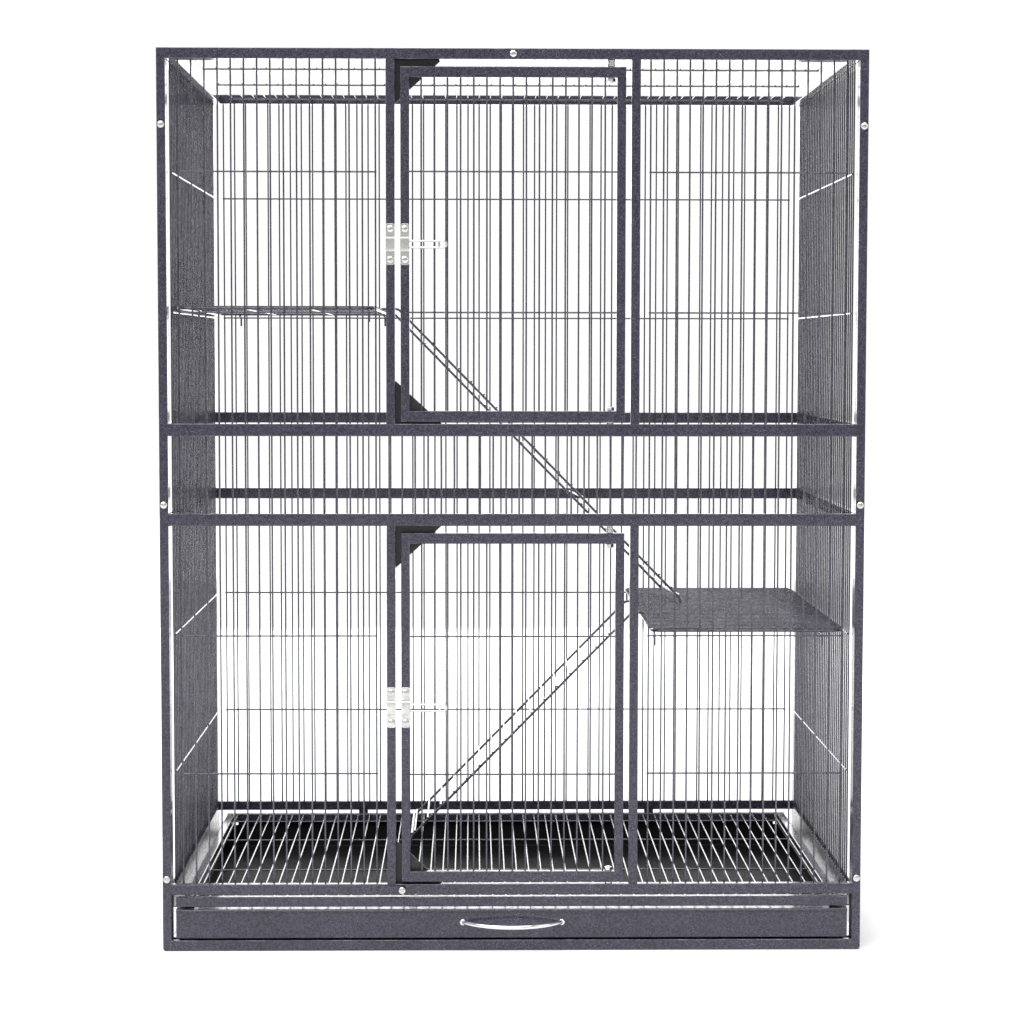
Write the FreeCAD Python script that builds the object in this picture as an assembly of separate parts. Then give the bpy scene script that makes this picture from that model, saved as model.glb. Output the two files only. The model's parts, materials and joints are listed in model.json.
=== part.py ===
"""A two-storey wire rabbit cage: bolted tube panels with welded wire, two doors, two shelves, two
ladders, a slide-out floor grate and a slide-out litter tray.

Millimetres. +Z is up, -Y is the front and +X is the right-hand side. The origin is the bottom centre of
the whole cage's box, which runs from the tray handle's front to the heads of the screws in the back.
"""
import FreeCAD, Part
import math
import os

from FreeCAD import Vector

# ---- driving dimensions ------------------------------------------------------------------------------
tiny = 1e-6
width = 790.0
depth = 520.0
height = 1012.0
handle_reach = 27.5          # how far the tray handle stands out of the front
screw_head_height = 2.4

front = handle_reach - (depth + handle_reach + screw_head_height) / 2
back = front + depth
mid_y = (front + back) / 2
half_width = width / 2

# square steel tube
tube = 10.0                  # width of the posts and depth of every panel
tube_wall = 1.2
rail = 12.0                  # height of the top, base and floor rails
mid_rail = 14.0
inner_x = half_width - tube  # inner face of the side panels
corner_radius = 3.0          # at the floor, on the front panel

# heights of the rails' lower edges
base_rail_z = 64.0
lower_mid_z = 482.0
upper_mid_z = 582.5
top_rail_z = height - rail

# welded wire
wire_r = 1.0
pitch = 14.6
weld = 0.4                   # how far two crossing wires sink into each other
cross_offset = 2 * wire_r - weld
wire_end = 1.3               # how far a cross wire runs past the last wire it is welded to
wire_levels = (200.2, 356.9, 720.6, 876.8)
mesh_bottom_z = base_rail_z + 7.0
mesh_top_z = top_rail_z
strip_start = 11.8           # from a door post to the first wire beside it
middle_mesh_lap = 6.2        # how far the front's middle mesh runs up behind its rails
middle_cross_inset = 2.0     # from that mesh's ends to its cross wires
top_cross_offsets = (143.0, 314.0, 485.0)      # from the front face

# doors
opening_half = 131.5         # half of the clear width between the door posts
door_half = 125.3
door_depth = tube - 0.3      # leaves room for the stop plates behind the door
door_gap_top = 8.0
door_gap_bottom = 2.4
pivot_x = 108.8
pivot_r = 2.5
pivot_hole_r = 2.9
pivot_nut_flats = 8.0
pivot_nut_height = 4.0
running_gap = 0.3
spacer_r = 4.2

# door stop plates
stop_leg_x = 52.0
stop_leg_z = 48.0
stop_overlap = 5.5
stop_thickness = 1.5

# latches
latch_levels = {"upper": 796.0, "lower": 277.5}
latch_plate_height = 46.0
latch_plate_thickness = 1.5
latch_screw_offset = 17.0
latch_strap_height = 13.0
latch_link_length = 52.0
latch_link_height = 9.6
latch_link_r = 1.2
latch_play = 0.35            # between the link and the plate behind it
latch_grip_inset = 9.0       # from the link's closed end to the bar across it

# screws
screw_r = 2.0
screw_hole_r = 2.1
screw_head_r = 4.0
screw_flange = 1.0
screw_crown_r = 2.5
screw_recess_r = 1.2
screw_recess_depth = 1.2
insert_r = 3.2
insert_play = 0.05
insert_length = 7.0
panel_screw_levels = (82.0, 505.5, 927.5)

# shelves
shelf_wire_r = 1.5
shelf_inner_x = {"upper": -155.0, "lower": 158.0}
shelf_outer_x = 376.0
shelf_margin_y = 22.0        # from the front face, and from the back face
shelf_corner = 12.0
shelf_hook_x = (160.6, 350.4)
shelf_hook_r = 1.25
shelf_hook_sink = 2.25       # the hooks' wire lies this much below the rim's
shelf_hook_drop = 13.0
shelf_hook_start = 9.0       # from the rim back to the hook's end
shelf_hook_turn_r = 2.2
shelf_weld = 0.5
shelf_bearer_lift = 0.3
shelf_levels = {"upper": wire_levels[2], "lower": wire_levels[1]}

# ladders
ladder_r = 1.5
ladder_rung_r = 1.1
ladder_rung_pitch = 22.2
ladder_steps = 9             # width, in wire pitches
ladder_hook_r = 3.9
ladder_hook_drop = 3.5       # how far the hook's tip reaches below the rim's centre
ladder_run = 12.0            # level run from the rim to where the slope starts
ladder_bend_r = 8.0
ladder_foot = {"upper": 7.0, "lower": 33.0}
ladder_toe = {"upper": 1.0, "lower": 6.0}
ladder_foot_bend_r = {"upper": 6.0, "lower": 14.0}
ladder_foot_bar_lift = 3.0
first_rung = 0.7             # in rung pitches from the top of the slope
rung_end = 1.0

# floor grate and litter tray
grate_z = 50.0
grate_height = 11.3
grate_half = 373.0
grate_wire_sink = 0.6        # from the top of the grate's frame to the top of its wires
drawer_half = 380.0
drawer_bottom_z = 14.0
drawer_top_z = 47.5
sheet = 1.5
rear_clear = 13.0            # from the back face to the drawer's and the grate's back
grate_cross_offsets = (160.0, 338.0, 460.0)    # from the front face
runner_leg = 24.0
runner_gap = 0.5
grate_gap = 0.3              # between the grate and its runners
tray_runner_z = 2.0
runner_top_z = mesh_bottom_z - 1.0
rear_stop_x = 191.0
rear_stop_half = 6.0
rear_stop_z = 30.0
tray_lip_r = 2.0
tray_flange = 12.0
tray_foot = 8.0
pan_wall = 1.8
pan_side_gap = 2.0           # from the drawer front's ends to the pan's sides
pan_drop = 2.5               # from the drawer front's top to the pan's rim
pan_back_half = 358.0        # the pan's back wall is higher over this much of its width
pan_back_gap = 0.8           # from its top to the grate
tray_handle_half = 56.0
tray_handle_r = 2.4
tray_handle_z = 32.0
handle_hole_r = 2.0
handle_stud_r = 1.9
handle_collar_height = 1.0
handle_stud_length = 5.5
handle_collar_r = 3.4
handle_nut_r = 3.6
handle_nut_height = 2.4

# swivel tab that keeps the drawer in
tab_x = -124.6
tab_z = base_rail_z + rail / 2
tab_length = 31.0
tab_width = 9.0
tab_thickness = 1.5
tab_gap = 2.6                # from the front face to the tab
tab_collar_r = 3.4

# where each ladder stands: its near rail, in wire pitches from the middle, and its feet
upper_ladder_step = 1
upper_ladder_foot_x = 205.0
upper_ladder_foot_gap = 4.2  # from the lower shelf's rim to the wire's centre
upper_ladder_skew = 13.0     # the upper ladder's slope is twisted this much
lower_ladder_step = -6
lower_ladder_foot_x = -118.0
lower_ladder_foot_gap = 0.6

os.makedirs("parts", exist_ok=True)


# ---- the three panel planes: u along the panel, v up or back, d through its thickness ----------------
def upright(u, v, d):
    """Front and back panels."""
    return Vector(u, d, v)


def sideways(u, v, d):
    """Left and right panels."""
    return Vector(d, u, v)


def level(u, v, d):
    """Top panel, floor grate and shelves."""
    return Vector(u, v, d)


# ---- basic shapes ------------------------------------------------------------------------------------
def save(name, shapes):
    """One STEP file for one node, as one solid or as a group of separate solids."""
    shapes = list(shapes) if isinstance(shapes, (list, tuple)) else [shapes]
    whole = shapes[0] if len(shapes) == 1 else Part.makeCompound(shapes)
    whole.exportStep("parts/%s.step" % name)


def block(x0, x1, y0, y1, z0, z1):
    return Part.makeBox(x1 - x0, y1 - y0, z1 - z0, Vector(x0, y0, z0))


def rod(start, end, radius):
    along = end - start
    return Part.makeCylinder(radius, along.Length, start, along)


def joined(shapes):
    """Welds solids that overlap into one."""
    shapes = list(shapes)
    return shapes[0].multiFuse(shapes[1:]) if len(shapes) > 1 else shapes[0]


def cut_where_met(bodies, tools):
    """Cuts each tool from the bodies whose boxes it meets."""
    result = []
    for body in bodies:
        for tool in tools:
            if tool.BoundBox.intersect(body.BoundBox):
                body = body.cut(tool)
        result.append(body)
    return result


def prism(outline, d0, d1, plane):
    corners = [plane(u, v, d0) for u, v in outline]
    face = Part.Face(Part.makePolygon(corners + corners[:1]))
    return face.extrude(plane(0, 0, d1) - plane(0, 0, d0))


def tube_between(u0, u1, v0, v1, d0, d1, plane, along):
    """A straight square tube with open ends, which runs along u or v."""
    outer = prism([(u0, v0), (u1, v0), (u1, v1), (u0, v1)], d0, d1, plane)
    w = tube_wall
    if along == "u":
        hollow = [(u0, v0 + w), (u1, v0 + w), (u1, v1 - w), (u0, v1 - w)]
    else:
        hollow = [(u0 + w, v0), (u1 - w, v0), (u1 - w, v1), (u0 + w, v1)]
    return outer.cut(prism(hollow, d0 + w, d1 - w, plane))


def mitred_ring(u0, u1, v0, v1, d0, d1, plane, stile=tube, rail_height=rail):
    """Four square tubes with mitred ends: bottom, right, top and left."""
    def corner(number, share):
        """A point on a corner's mitre line, from its outer end at 0 to its inner end at 1."""
        u = u0 + share * stile if number in (0, 3) else u1 - share * stile
        v = v0 + share * rail_height if number in (0, 1) else v1 - share * rail_height
        return u, v

    tubes = []
    for side in range(4):
        a, b = side, (side + 1) % 4
        share = tube_wall / (rail_height if side in (0, 2) else stile)
        outer = [corner(a, 0), corner(b, 0), corner(b, 1), corner(a, 1)]
        hollow = [corner(a, share), corner(b, share), corner(b, 1 - share), corner(a, 1 - share)]
        body = prism(outer, d0, d1, plane)
        tubes.append(body.cut(prism(hollow, d0 + tube_wall, d1 - tube_wall, plane)))
    return tubes


def wire_mesh(stations, span, d, levels, cross_d, plane, cross_span=None):
    """Wires along v at each station, welded to wires along u at each level."""
    u0, u1 = cross_span or (min(stations) - wire_end, max(stations) + wire_end)
    wires = [rod(plane(u, span[0], d), plane(u, span[1], d), wire_r) for u in stations]
    wires += [rod(plane(u0, v, cross_d), plane(u1, v, cross_d), wire_r) for v in levels]
    return joined(wires)


def half_grid(count):
    """Evenly pitched values on both sides of zero, count to a side, with none on zero itself."""
    return [pitch * (k + 0.5) for k in range(-count, count)]


def bent_path(points, radii):
    """Straight runs joined by tangent arcs. radii holds one radius for each turned point."""
    edges = []
    start = points[0]
    for before, here, after, radius in zip(points, points[1:], points[2:], radii):
        back_along = (before - here).normalize()
        ahead = (after - here).normalize()
        half = back_along.getAngle(ahead) / 2
        reach = radius / math.tan(half)
        bisector = (back_along + ahead).normalize()
        middle = here + bisector * (radius / math.sin(half) - radius)
        arc_start = here + back_along * reach
        arc_end = here + ahead * reach
        if (arc_start - start).Length > tiny:
            edges.append(Part.LineSegment(start, arc_start).toShape())
        edges.append(Part.Arc(arc_start, middle, arc_end).toShape())
        start = arc_end
    edges.append(Part.LineSegment(start, points[-1]).toShape())
    return Part.Wire(edges)


def bent_wire(points, radii, radius):
    """A round wire bent along an open path."""
    path = bent_path(points, radii)
    direction = points[1] - points[0]
    section = Part.Wire(Part.makeCircle(radius, points[0], direction))
    return path.makePipeShell([section], True, True)


def wire_loop(corners, turn_radius, radius):
    """A closed wire loop with rounded corners, from straight rods and quarter rings."""
    count = len(corners)
    normal = (corners[1] - corners[0]).cross(corners[2] - corners[1]).normalize()
    pieces = []
    for index, here in enumerate(corners):
        following = corners[(index + 1) % count]
        before = (corners[index - 1] - here).normalize()
        after = (following - here).normalize()
        pieces.append(rod(here + after * turn_radius, following - after * turn_radius, radius))
        centre = here + (before + after) * turn_radius
        section = Part.Face(Part.Wire(Part.makeCircle(radius, here + before * turn_radius, before)))
        pieces.append(section.revolve(centre, normal, 90))
    return joined(pieces)


def pan_head_screw(point, axis, length):
    """A screw whose head sits at point and stands out against axis; the shank goes along axis."""
    crown = point - axis * screw_head_height
    flange = Part.makeCylinder(screw_head_r, screw_flange, point - axis * screw_flange, axis)
    dome = Part.makeCone(screw_crown_r, screw_head_r, screw_head_height - screw_flange, crown, axis)
    shank = Part.makeCylinder(screw_r, length, point, axis)
    recess = Part.makeCylinder(screw_recess_r, screw_recess_depth, crown, axis)
    return joined([flange, dome, shank]).cut(recess)


def hexagon(centre, flats, tall):
    """A hexagonal nut blank that stands on centre, with two flats facing along X."""
    radius = flats / math.sqrt(3)
    corners = [centre + Vector(radius * math.cos(math.radians(60 * k + 30)),
                               radius * math.sin(math.radians(60 * k + 30)), 0) for k in range(6)]
    return Part.Face(Part.makePolygon(corners + corners[:1])).extrude(Vector(0, 0, tall))


# ---- panels ------------------------------------------------------------------------------------------
side_screw_x = half_width - tube / 2
top_screw_z = top_rail_z + rail / 2


def screw_places():
    """Where each panel screw's head meets the front or the back, and which way along Y it goes in."""
    for face_y, inward in ((front, 1), (back, -1)):
        for side in (-1, 1):
            for z in panel_screw_levels:
                yield Vector(side * side_screw_x, face_y, z), inward
        yield Vector(0, face_y, top_screw_z), inward


def drilled(tubes, radius, reach, start=0.0):
    """Drills the panel screws' holes through whichever tubes they meet."""
    tools = [Part.makeCylinder(radius, reach, point + Vector(0, inward * start, 0), Vector(0, inward, 0))
             for point, inward in screw_places()]
    return cut_where_met(tubes, tools)


def middle_rails(u0, u1, d0, d1, plane):
    """The base rail and the two middle rails of a panel."""
    spans = ((base_rail_z, rail), (lower_mid_z, mid_rail), (upper_mid_z, mid_rail))
    return [tube_between(u0, u1, z, z + tall, d0, d1, plane, "u") for z, tall in spans]


def make_front_frame():
    ring = mitred_ring(-half_width, half_width, 0, height, front, front + tube, upright)
    for side in (-1, 1):
        corner = Vector(side * (half_width - corner_radius), front - 1, corner_radius)
        x0, x1 = sorted((corner.x, side * (half_width + 1)))
        square = block(x0, x1, front - 1, front + tube + 1, -1, corner_radius)
        rounded = Part.makeCylinder(corner_radius, tube + 2, corner, Vector(0, 1, 0))
        ring = [body.cut(square.cut(rounded)) for body in ring]
    rails = middle_rails(-inner_x, inner_x, front, front + tube, upright)
    posts = []
    for z0, z1 in ((base_rail_z + rail, lower_mid_z), (upper_mid_z + mid_rail, top_rail_z)):
        for side in (-1, 1):
            u0, u1 = sorted((side * opening_half, side * (opening_half + tube)))
            posts.append(tube_between(u0, u1, z0, z1, front, front + tube, upright, "v"))
    return drilled(ring + rails + posts, screw_hole_r, tube)


def make_back_frame():
    ring = mitred_ring(-half_width, half_width, 0, height, back - tube, back, upright)
    rails = middle_rails(-inner_x, inner_x, back - tube, back, upright)
    return drilled(ring + rails, screw_hole_r, tube)


def make_side_frame(side):
    d0, d1 = sorted((side * inner_x, side * half_width))
    y0, y1 = front + tube, back - tube
    ring = mitred_ring(y0, y1, 0, height, d0, d1, sideways)
    rails = middle_rails(y0 + tube, y1 - tube, d0, d1, sideways)
    return drilled(ring + rails, insert_r, insert_length, start=tube)


def make_top_frame():
    ring = mitred_ring(-inner_x, inner_x, front + tube, back - tube, top_rail_z, height, level,
                       rail_height=tube)
    return drilled(ring, insert_r, insert_length, start=tube)


def make_panel_meshes():
    upright_span = (mesh_bottom_z, mesh_top_z)
    d = front + tube + wire_r
    for side, name in ((-1, "front_left_mesh"), (1, "front_right_mesh")):
        stations = [side * (opening_half + tube + strip_start + pitch * k) for k in range(16)]
        save(name, wire_mesh(stations, upright_span, d, wire_levels, d + cross_offset, upright))

    low, high = lower_mid_z + middle_mesh_lap, upper_mid_z + middle_mesh_lap
    levels = (low + middle_cross_inset, high - middle_cross_inset)
    save("front_middle_mesh", wire_mesh(half_grid(10), (low, high), d, levels, d + cross_offset, upright))

    d = back - tube - wire_r
    save("back_mesh", wire_mesh(half_grid(26), upright_span, d, wire_levels, d - cross_offset, upright))

    along = [mid_y + u for u in half_grid(16)]
    for side, name in ((-1, "left_side_mesh"), (1, "right_side_mesh")):
        d = side * (inner_x - wire_r)
        save(name, wire_mesh(along, upright_span, d, wire_levels, d - side * cross_offset, sideways))

    d = top_rail_z + rail / 2
    levels = [front + offset for offset in top_cross_offsets]
    span = (front + 2 * tube, back - 2 * tube)
    save("top_mesh", wire_mesh(half_grid(25), span, d, levels, d - cross_offset, level))


def make_panel_fasteners():
    screws, inserts = [], []
    for point, inward in screw_places():
        axis = Vector(0, inward, 0)
        screws.append(pan_head_screw(point, axis, tube + insert_length))
        start = point + axis * tube
        sleeve = Part.makeCylinder(insert_r - insert_play, insert_length, start, axis)
        inserts.append(sleeve.cut(Part.makeCylinder(screw_hole_r, insert_length, start, axis)))
    save("panel_screws", screws)
    save("threaded_inserts", inserts)


# ---- doors -------------------------------------------------------------------------------------------
door_spans = {
    "upper": (upper_mid_z + mid_rail + door_gap_bottom, top_rail_z - door_gap_top),
    "lower": (base_rail_z + rail + door_gap_bottom, lower_mid_z - door_gap_top),
}
pivot_y = front + tube / 2


def make_door(which):
    z0, z1 = door_spans[which]
    y0, y1 = front, front + door_depth
    ring = mitred_ring(-door_half, door_half, z0, z1, y0, y1, upright)
    holes = [Part.makeCylinder(pivot_hole_r, z1 - z0, Vector(pivot_x, pivot_y, z0))]
    holes += latch_holes(-door_half + tube / 2, latch_levels[which])
    save(which + "_door_frame", cut_where_met(ring, holes))

    stations = [pitch * k for k in range(-7, 8)]
    levels = [z for z in wire_levels if z0 < z < z1]
    d = front + tube / 2
    inner = door_half - tube
    save(which + "_door_mesh", wire_mesh(stations, (z0 + rail, z1 - rail), d, levels, d + cross_offset,
                                         upright, cross_span=(-inner, inner)))


def make_pivots(which):
    """The two screws that the door turns on, with the nuts inside the door and a spacer at each end."""
    z0, z1 = door_spans[which]
    at = Vector(pivot_x, pivot_y, 0)
    pins, spacers = [], []
    for edge, outward, gap in ((z0, -1, door_gap_bottom), (z1, 1, door_gap_top)):
        inside = edge - outward * (rail + running_gap)
        frame_face = edge + outward * gap
        shank_end = frame_face + outward * tube_wall
        low, high = sorted((inside, shank_end))
        shank = Part.makeCylinder(pivot_r, high - low, at + Vector(0, 0, low))
        nut_base = inside if outward < 0 else inside - pivot_nut_height
        nut = hexagon(at + Vector(0, 0, nut_base), pivot_nut_flats, pivot_nut_height)
        pins.append(joined([shank, nut]))
        low, high = sorted((edge + outward * running_gap, frame_face))
        ring = Part.makeCylinder(spacer_r, high - low, at + Vector(0, 0, low))
        spacers.append(ring.cut(Part.makeCylinder(pivot_r, high - low, at + Vector(0, 0, low))))
    save(which + "_door_pivots", pins)
    save(which + "_door_spacers", spacers)
    return [Part.makeCylinder(pivot_r, tube_wall, at + Vector(0, 0, edge)) for edge in
            (z0 - door_gap_bottom - tube_wall, z1 + door_gap_top)]


def make_stops(which):
    """Two triangular plates behind the opening's latch-side corners, which the door closes against."""
    z0, z1 = door_spans[which]
    u0, toe, y0 = -opening_half - stop_overlap, -opening_half + stop_leg_x, front + tube
    plates = []
    for corner_z, inward in ((z0 - door_gap_bottom, 1), (z1 + door_gap_top, -1)):
        tip_z = corner_z + inward * stop_leg_z
        outline = [(toe, corner_z), (-opening_half, tip_z), (u0, tip_z)]
        if corner_z < top_rail_z:
            lap_z = corner_z - inward * stop_overlap
            outline += [(u0, lap_z), (toe, lap_z)]
        else:
            outline += [(u0, corner_z)]
        plates.append(prism(outline, y0, y0 + stop_thickness, upright))
    save(which + "_door_stops", plates)


# ---- latches -----------------------------------------------------------------------------------------
def latch_plate(x0, x1, z, face_y):
    """A plate with a raised strap across its middle, which the link slides under, and its two screws."""
    t = latch_plate_thickness
    half = latch_plate_height / 2
    lift = 2 * (latch_link_r + latch_play)
    plate = block(x0, x1, face_y - t, face_y, z - half, z + half)
    strap_half = latch_strap_height / 2
    strap = block(x0, x1, face_y - t - lift - t, face_y - t, z - strap_half - t, z + strap_half + t)
    tunnel = block(x0 - 1, x1 + 1, face_y - t - lift, face_y - t, z - strap_half, z + strap_half)
    body = joined([plate, strap]).cut(tunnel)
    upright_edges = [edge for edge in body.Edges if abs(edge.Length - t) < 1e-6
                     and abs(edge.CenterOfMass.z - z) > half - 1e-3]
    body = body.makeFillet(2.5, upright_edges)
    screws = []
    for offset in (-latch_screw_offset, latch_screw_offset):
        point = Vector((x0 + x1) / 2, face_y - t, z + offset)
        body = body.cut(Part.makeCylinder(screw_hole_r, t, point, Vector(0, 1, 0)))
        screws.append(pan_head_screw(point, Vector(0, 1, 0), t + tube_wall))
    return body, screws


def make_latch(which):
    """Keeper on the door post, plate on the door's stile, and the long wire link that joins them."""
    z = latch_levels[which]
    keeper, keeper_screws = latch_plate(-opening_half - tube, -opening_half, z, front)
    save(which + "_latch_keeper", keeper)
    save(which + "_keeper_screws", keeper_screws)
    plate, plate_screws = latch_plate(-door_half, -door_half + tube, z, front)
    save(which + "_latch_plate", plate)
    save(which + "_latch_screws", plate_screws)

    left = -door_half + 0.2
    right = left + latch_link_length
    y = front - latch_plate_thickness - latch_link_r - latch_play
    tall = latch_link_height / 2 - latch_link_r
    corners = [Vector(left + latch_link_r, y, z - tall), Vector(right - latch_link_r, y, z - tall),
               Vector(right - latch_link_r, y, z + tall), Vector(left + latch_link_r, y, z + tall)]
    loop = wire_loop(corners, tall - 0.01, latch_link_r)
    grip_x = right - latch_grip_inset
    grip = rod(Vector(grip_x, y, z - tall), Vector(grip_x, y, z + tall), latch_link_r)
    save(which + "_latch_link", joined([loop, grip]))


def latch_holes(x, z):
    """The screw holes that a latch plate needs in the tube behind it."""
    return [Part.makeCylinder(screw_hole_r, tube_wall, Vector(x, front, z + offset), Vector(0, 1, 0))
            for offset in (-latch_screw_offset, latch_screw_offset)]


# ---- shelves and ladders -----------------------------------------------------------------------------
def shelf_rim_z(which):
    """The hooks lie on the wall's wire, and the rim is a little above them."""
    return shelf_levels[which] + wire_r + shelf_hook_r + shelf_hook_sink


def make_shelf(which):
    z = shelf_rim_z(which)
    side = -1 if which == "upper" else 1
    x0, x1 = sorted((shelf_inner_x[which], side * shelf_outer_x))
    y0, y1 = front + shelf_margin_y, back - shelf_margin_y
    pieces = [wire_loop([Vector(x0, y0, z), Vector(x1, y0, z), Vector(x1, y1, z), Vector(x0, y1, z)],
                        shelf_corner, shelf_wire_r)]
    crossing_z = z + shelf_wire_r + wire_r - shelf_weld
    for y in [mid_y + pitch * k for k in range(-16, 17)]:
        into_corner = max(0.0, shelf_corner - min(y - y0, y1 - y))
        inset = shelf_corner - math.sqrt(shelf_corner ** 2 - into_corner ** 2) - shelf_weld
        pieces.append(rod(Vector(x0 + inset, y, crossing_z), Vector(x1 - inset, y, crossing_z), wire_r))
    bearer_z = z + shelf_bearer_lift
    for share in (1 / 3, 2 / 3):
        x = x0 + (x1 - x0) * share
        pieces.append(rod(Vector(x, y0, bearer_z), Vector(x, y1, bearer_z), wire_r))
    hook_z = z - shelf_hook_sink
    for hook_x in shelf_hook_x:
        for face, inward in ((front, 1), (back, -1)):
            start = Vector(side * hook_x, face + inward * (shelf_margin_y + shelf_hook_start), hook_z)
            turn = Vector(side * hook_x, face + inward * tube, hook_z)
            tip = turn - Vector(0, 0, shelf_hook_drop)
            pieces.append(bent_wire([start, turn, tip], [shelf_hook_turn_r], shelf_hook_r))
    save(which + "_shelf", joined(pieces))


def make_ladder(which, near_step, foot_x, foot_z, skew=0.0):
    """Two bent rails that hook over the shelf's rim, rungs across them, and a bar at the foot."""
    direction = 1 if which == "upper" else -1
    near_y = mid_y + pitch * (near_step + 0.5)
    pieces, slopes = [], []
    for y, shift in ((near_y, skew / 2), (near_y + pitch * ladder_steps, -skew / 2)):
        rim = Vector(shelf_inner_x[which], y, shelf_rim_z(which))
        behind = rim - Vector(direction * ladder_hook_r, 0, 0)
        tip = behind - Vector(0, 0, ladder_hook_drop)
        over = behind + Vector(0, 0, ladder_hook_r)
        slope_top = rim + Vector(direction * (ladder_run + shift), 0, ladder_hook_r)
        slope_foot = Vector(foot_x + direction * shift, y, foot_z + ladder_foot[which])
        toe = slope_foot + Vector(direction * ladder_toe[which], 0, -ladder_foot[which])
        pieces.append(bent_wire([tip, over, slope_top, slope_foot, toe],
                                [ladder_hook_r, ladder_bend_r, ladder_foot_bend_r[which]], ladder_r))
        slopes.append((slope_top, slope_foot))

    top, foot = slopes[0]
    fall = foot - top
    normal = Vector(-direction * fall.z, 0, direction * fall.x).normalize()
    lift = normal * (ladder_r + ladder_rung_r - weld)
    for k in range(int(fall.Length / ladder_rung_pitch)):
        near, far = [start + (end - start).normalize() * (ladder_rung_pitch * (k + first_rung)) + lift
                     for start, end in slopes]
        over = (far - near).normalize() * (ladder_r + rung_end)
        pieces.append(rod(near - over, far + over, ladder_rung_r))
    foot_bar = Vector(0, 0, ladder_foot_bar_lift)
    pieces.append(rod(slopes[0][1] + foot_bar, slopes[1][1] + foot_bar, ladder_r))
    save(which + "_ladder", joined(pieces))


# ---- floor grate, litter tray and their runners ------------------------------------------------------
drawer_front_y = front + 1.0
drawer_back_y = back - rear_clear


def make_runners():
    """Angles on both side panels: the tray slides on the lower pair and the grate on the upper pair."""
    trays, grates = [], []
    y0, y1 = front + tube + runner_gap, back - tube - runner_gap
    for side in (-1, 1):
        wall = sorted((side * inner_x, side * (inner_x - sheet)))
        leg = sorted((side * inner_x, side * (inner_x - runner_leg)))
        top = drawer_bottom_z - runner_gap
        trays.append(joined([block(*wall, y0, y1, tray_runner_z, top),
                             block(*leg, y0, y1, top - sheet, top)]))
        top = grate_z - grate_gap
        grates.append(joined([block(*wall, y0, y1, top - sheet, runner_top_z),
                              block(*leg, y0, y1, top - sheet, top)]))
    save("tray_runners", trays)
    save("grate_runners", grates)


def make_rear_stops():
    """Two angle tabs on the back panel's base rail, which the tray and the grate come up against."""
    stops = []
    y1 = back - tube
    for x in (-rear_stop_x, rear_stop_x):
        x0, x1 = x - rear_stop_half, x + rear_stop_half
        plate = block(x0, x1, y1 - sheet, y1, rear_stop_z, runner_top_z)
        hem = block(x0, x1, y1 - sheet, y1 + rear_stop_half, rear_stop_z, rear_stop_z + sheet)
        stops.append(joined([plate, hem]))
    save("rear_stops", stops)


def make_grate():
    y0, y1 = drawer_front_y, drawer_back_y
    z0, z1 = grate_z, grate_z + grate_height
    bars = [tube_between(-drawer_half, drawer_half, y0, y0 + tube, z0, z1, level, "u"),
            tube_between(-grate_half, grate_half, y1 - tube, y1, z0, z1, level, "u")]
    for side in (-1, 1):
        u0, u1 = sorted((side * grate_half, side * (grate_half - tube)))
        bars.append(tube_between(u0, u1, y0 + tube, y1 - tube, z0, z1, level, "v"))
    save("grate_frame", bars)

    d = z1 - wire_r - grate_wire_sink
    levels = [front + offset for offset in grate_cross_offsets]
    inner = grate_half - tube
    save("grate_mesh", wire_mesh(half_grid(25), (y0 + tube, y1 - tube), d, levels, d - cross_offset,
                                 level, cross_span=(-inner, inner)))


def make_tray():
    """A folded metal drawer front, and the plastic pan that stands behind its foot: a sheet and four walls."""
    y, top, bottom = drawer_front_y, drawer_top_z, drawer_bottom_z
    left = Vector(-drawer_half, y, top - tray_lip_r)
    roll = rod(left, left + Vector(2 * drawer_half, 0, 0), tray_lip_r)
    face = block(-drawer_half, drawer_half, y, y + sheet, bottom, top)
    flange = block(-drawer_half, drawer_half, y, y + tray_flange, top - sheet, top)
    foot = block(-drawer_half, drawer_half, y, y + tray_foot, bottom, bottom + sheet)
    drawer = joined([face, roll, flange, foot])
    for side in (-1, 1):
        at = Vector(side * tray_handle_half, y - tray_lip_r, tray_handle_z)
        drawer = drawer.cut(Part.makeCylinder(handle_hole_r, tray_lip_r + sheet, at, Vector(0, 1, 0)))
    save("tray_front", drawer)

    x, y0, y1 = drawer_half - pan_side_gap, y + tray_foot, drawer_back_y
    floor_z, rim_z = bottom + pan_wall, top - pan_drop
    pan = [block(-x, x, y0, y1, bottom, floor_z)]
    for x0, x1 in ((-x, -x + pan_wall), (x - pan_wall, x)):
        pan.append(block(x0, x1, y0, y1, floor_z, rim_z))
    inside = x - pan_wall
    pan.append(block(-inside, inside, y0, y0 + pan_wall, floor_z, rim_z))
    raised = block(-pan_back_half, pan_back_half, y1 - pan_wall, y1, floor_z, grate_z - pan_back_gap)
    pan.append(joined([block(-inside, inside, y1 - pan_wall, y1, floor_z, rim_z), raised]))
    save("tray_pan", pan)


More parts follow.
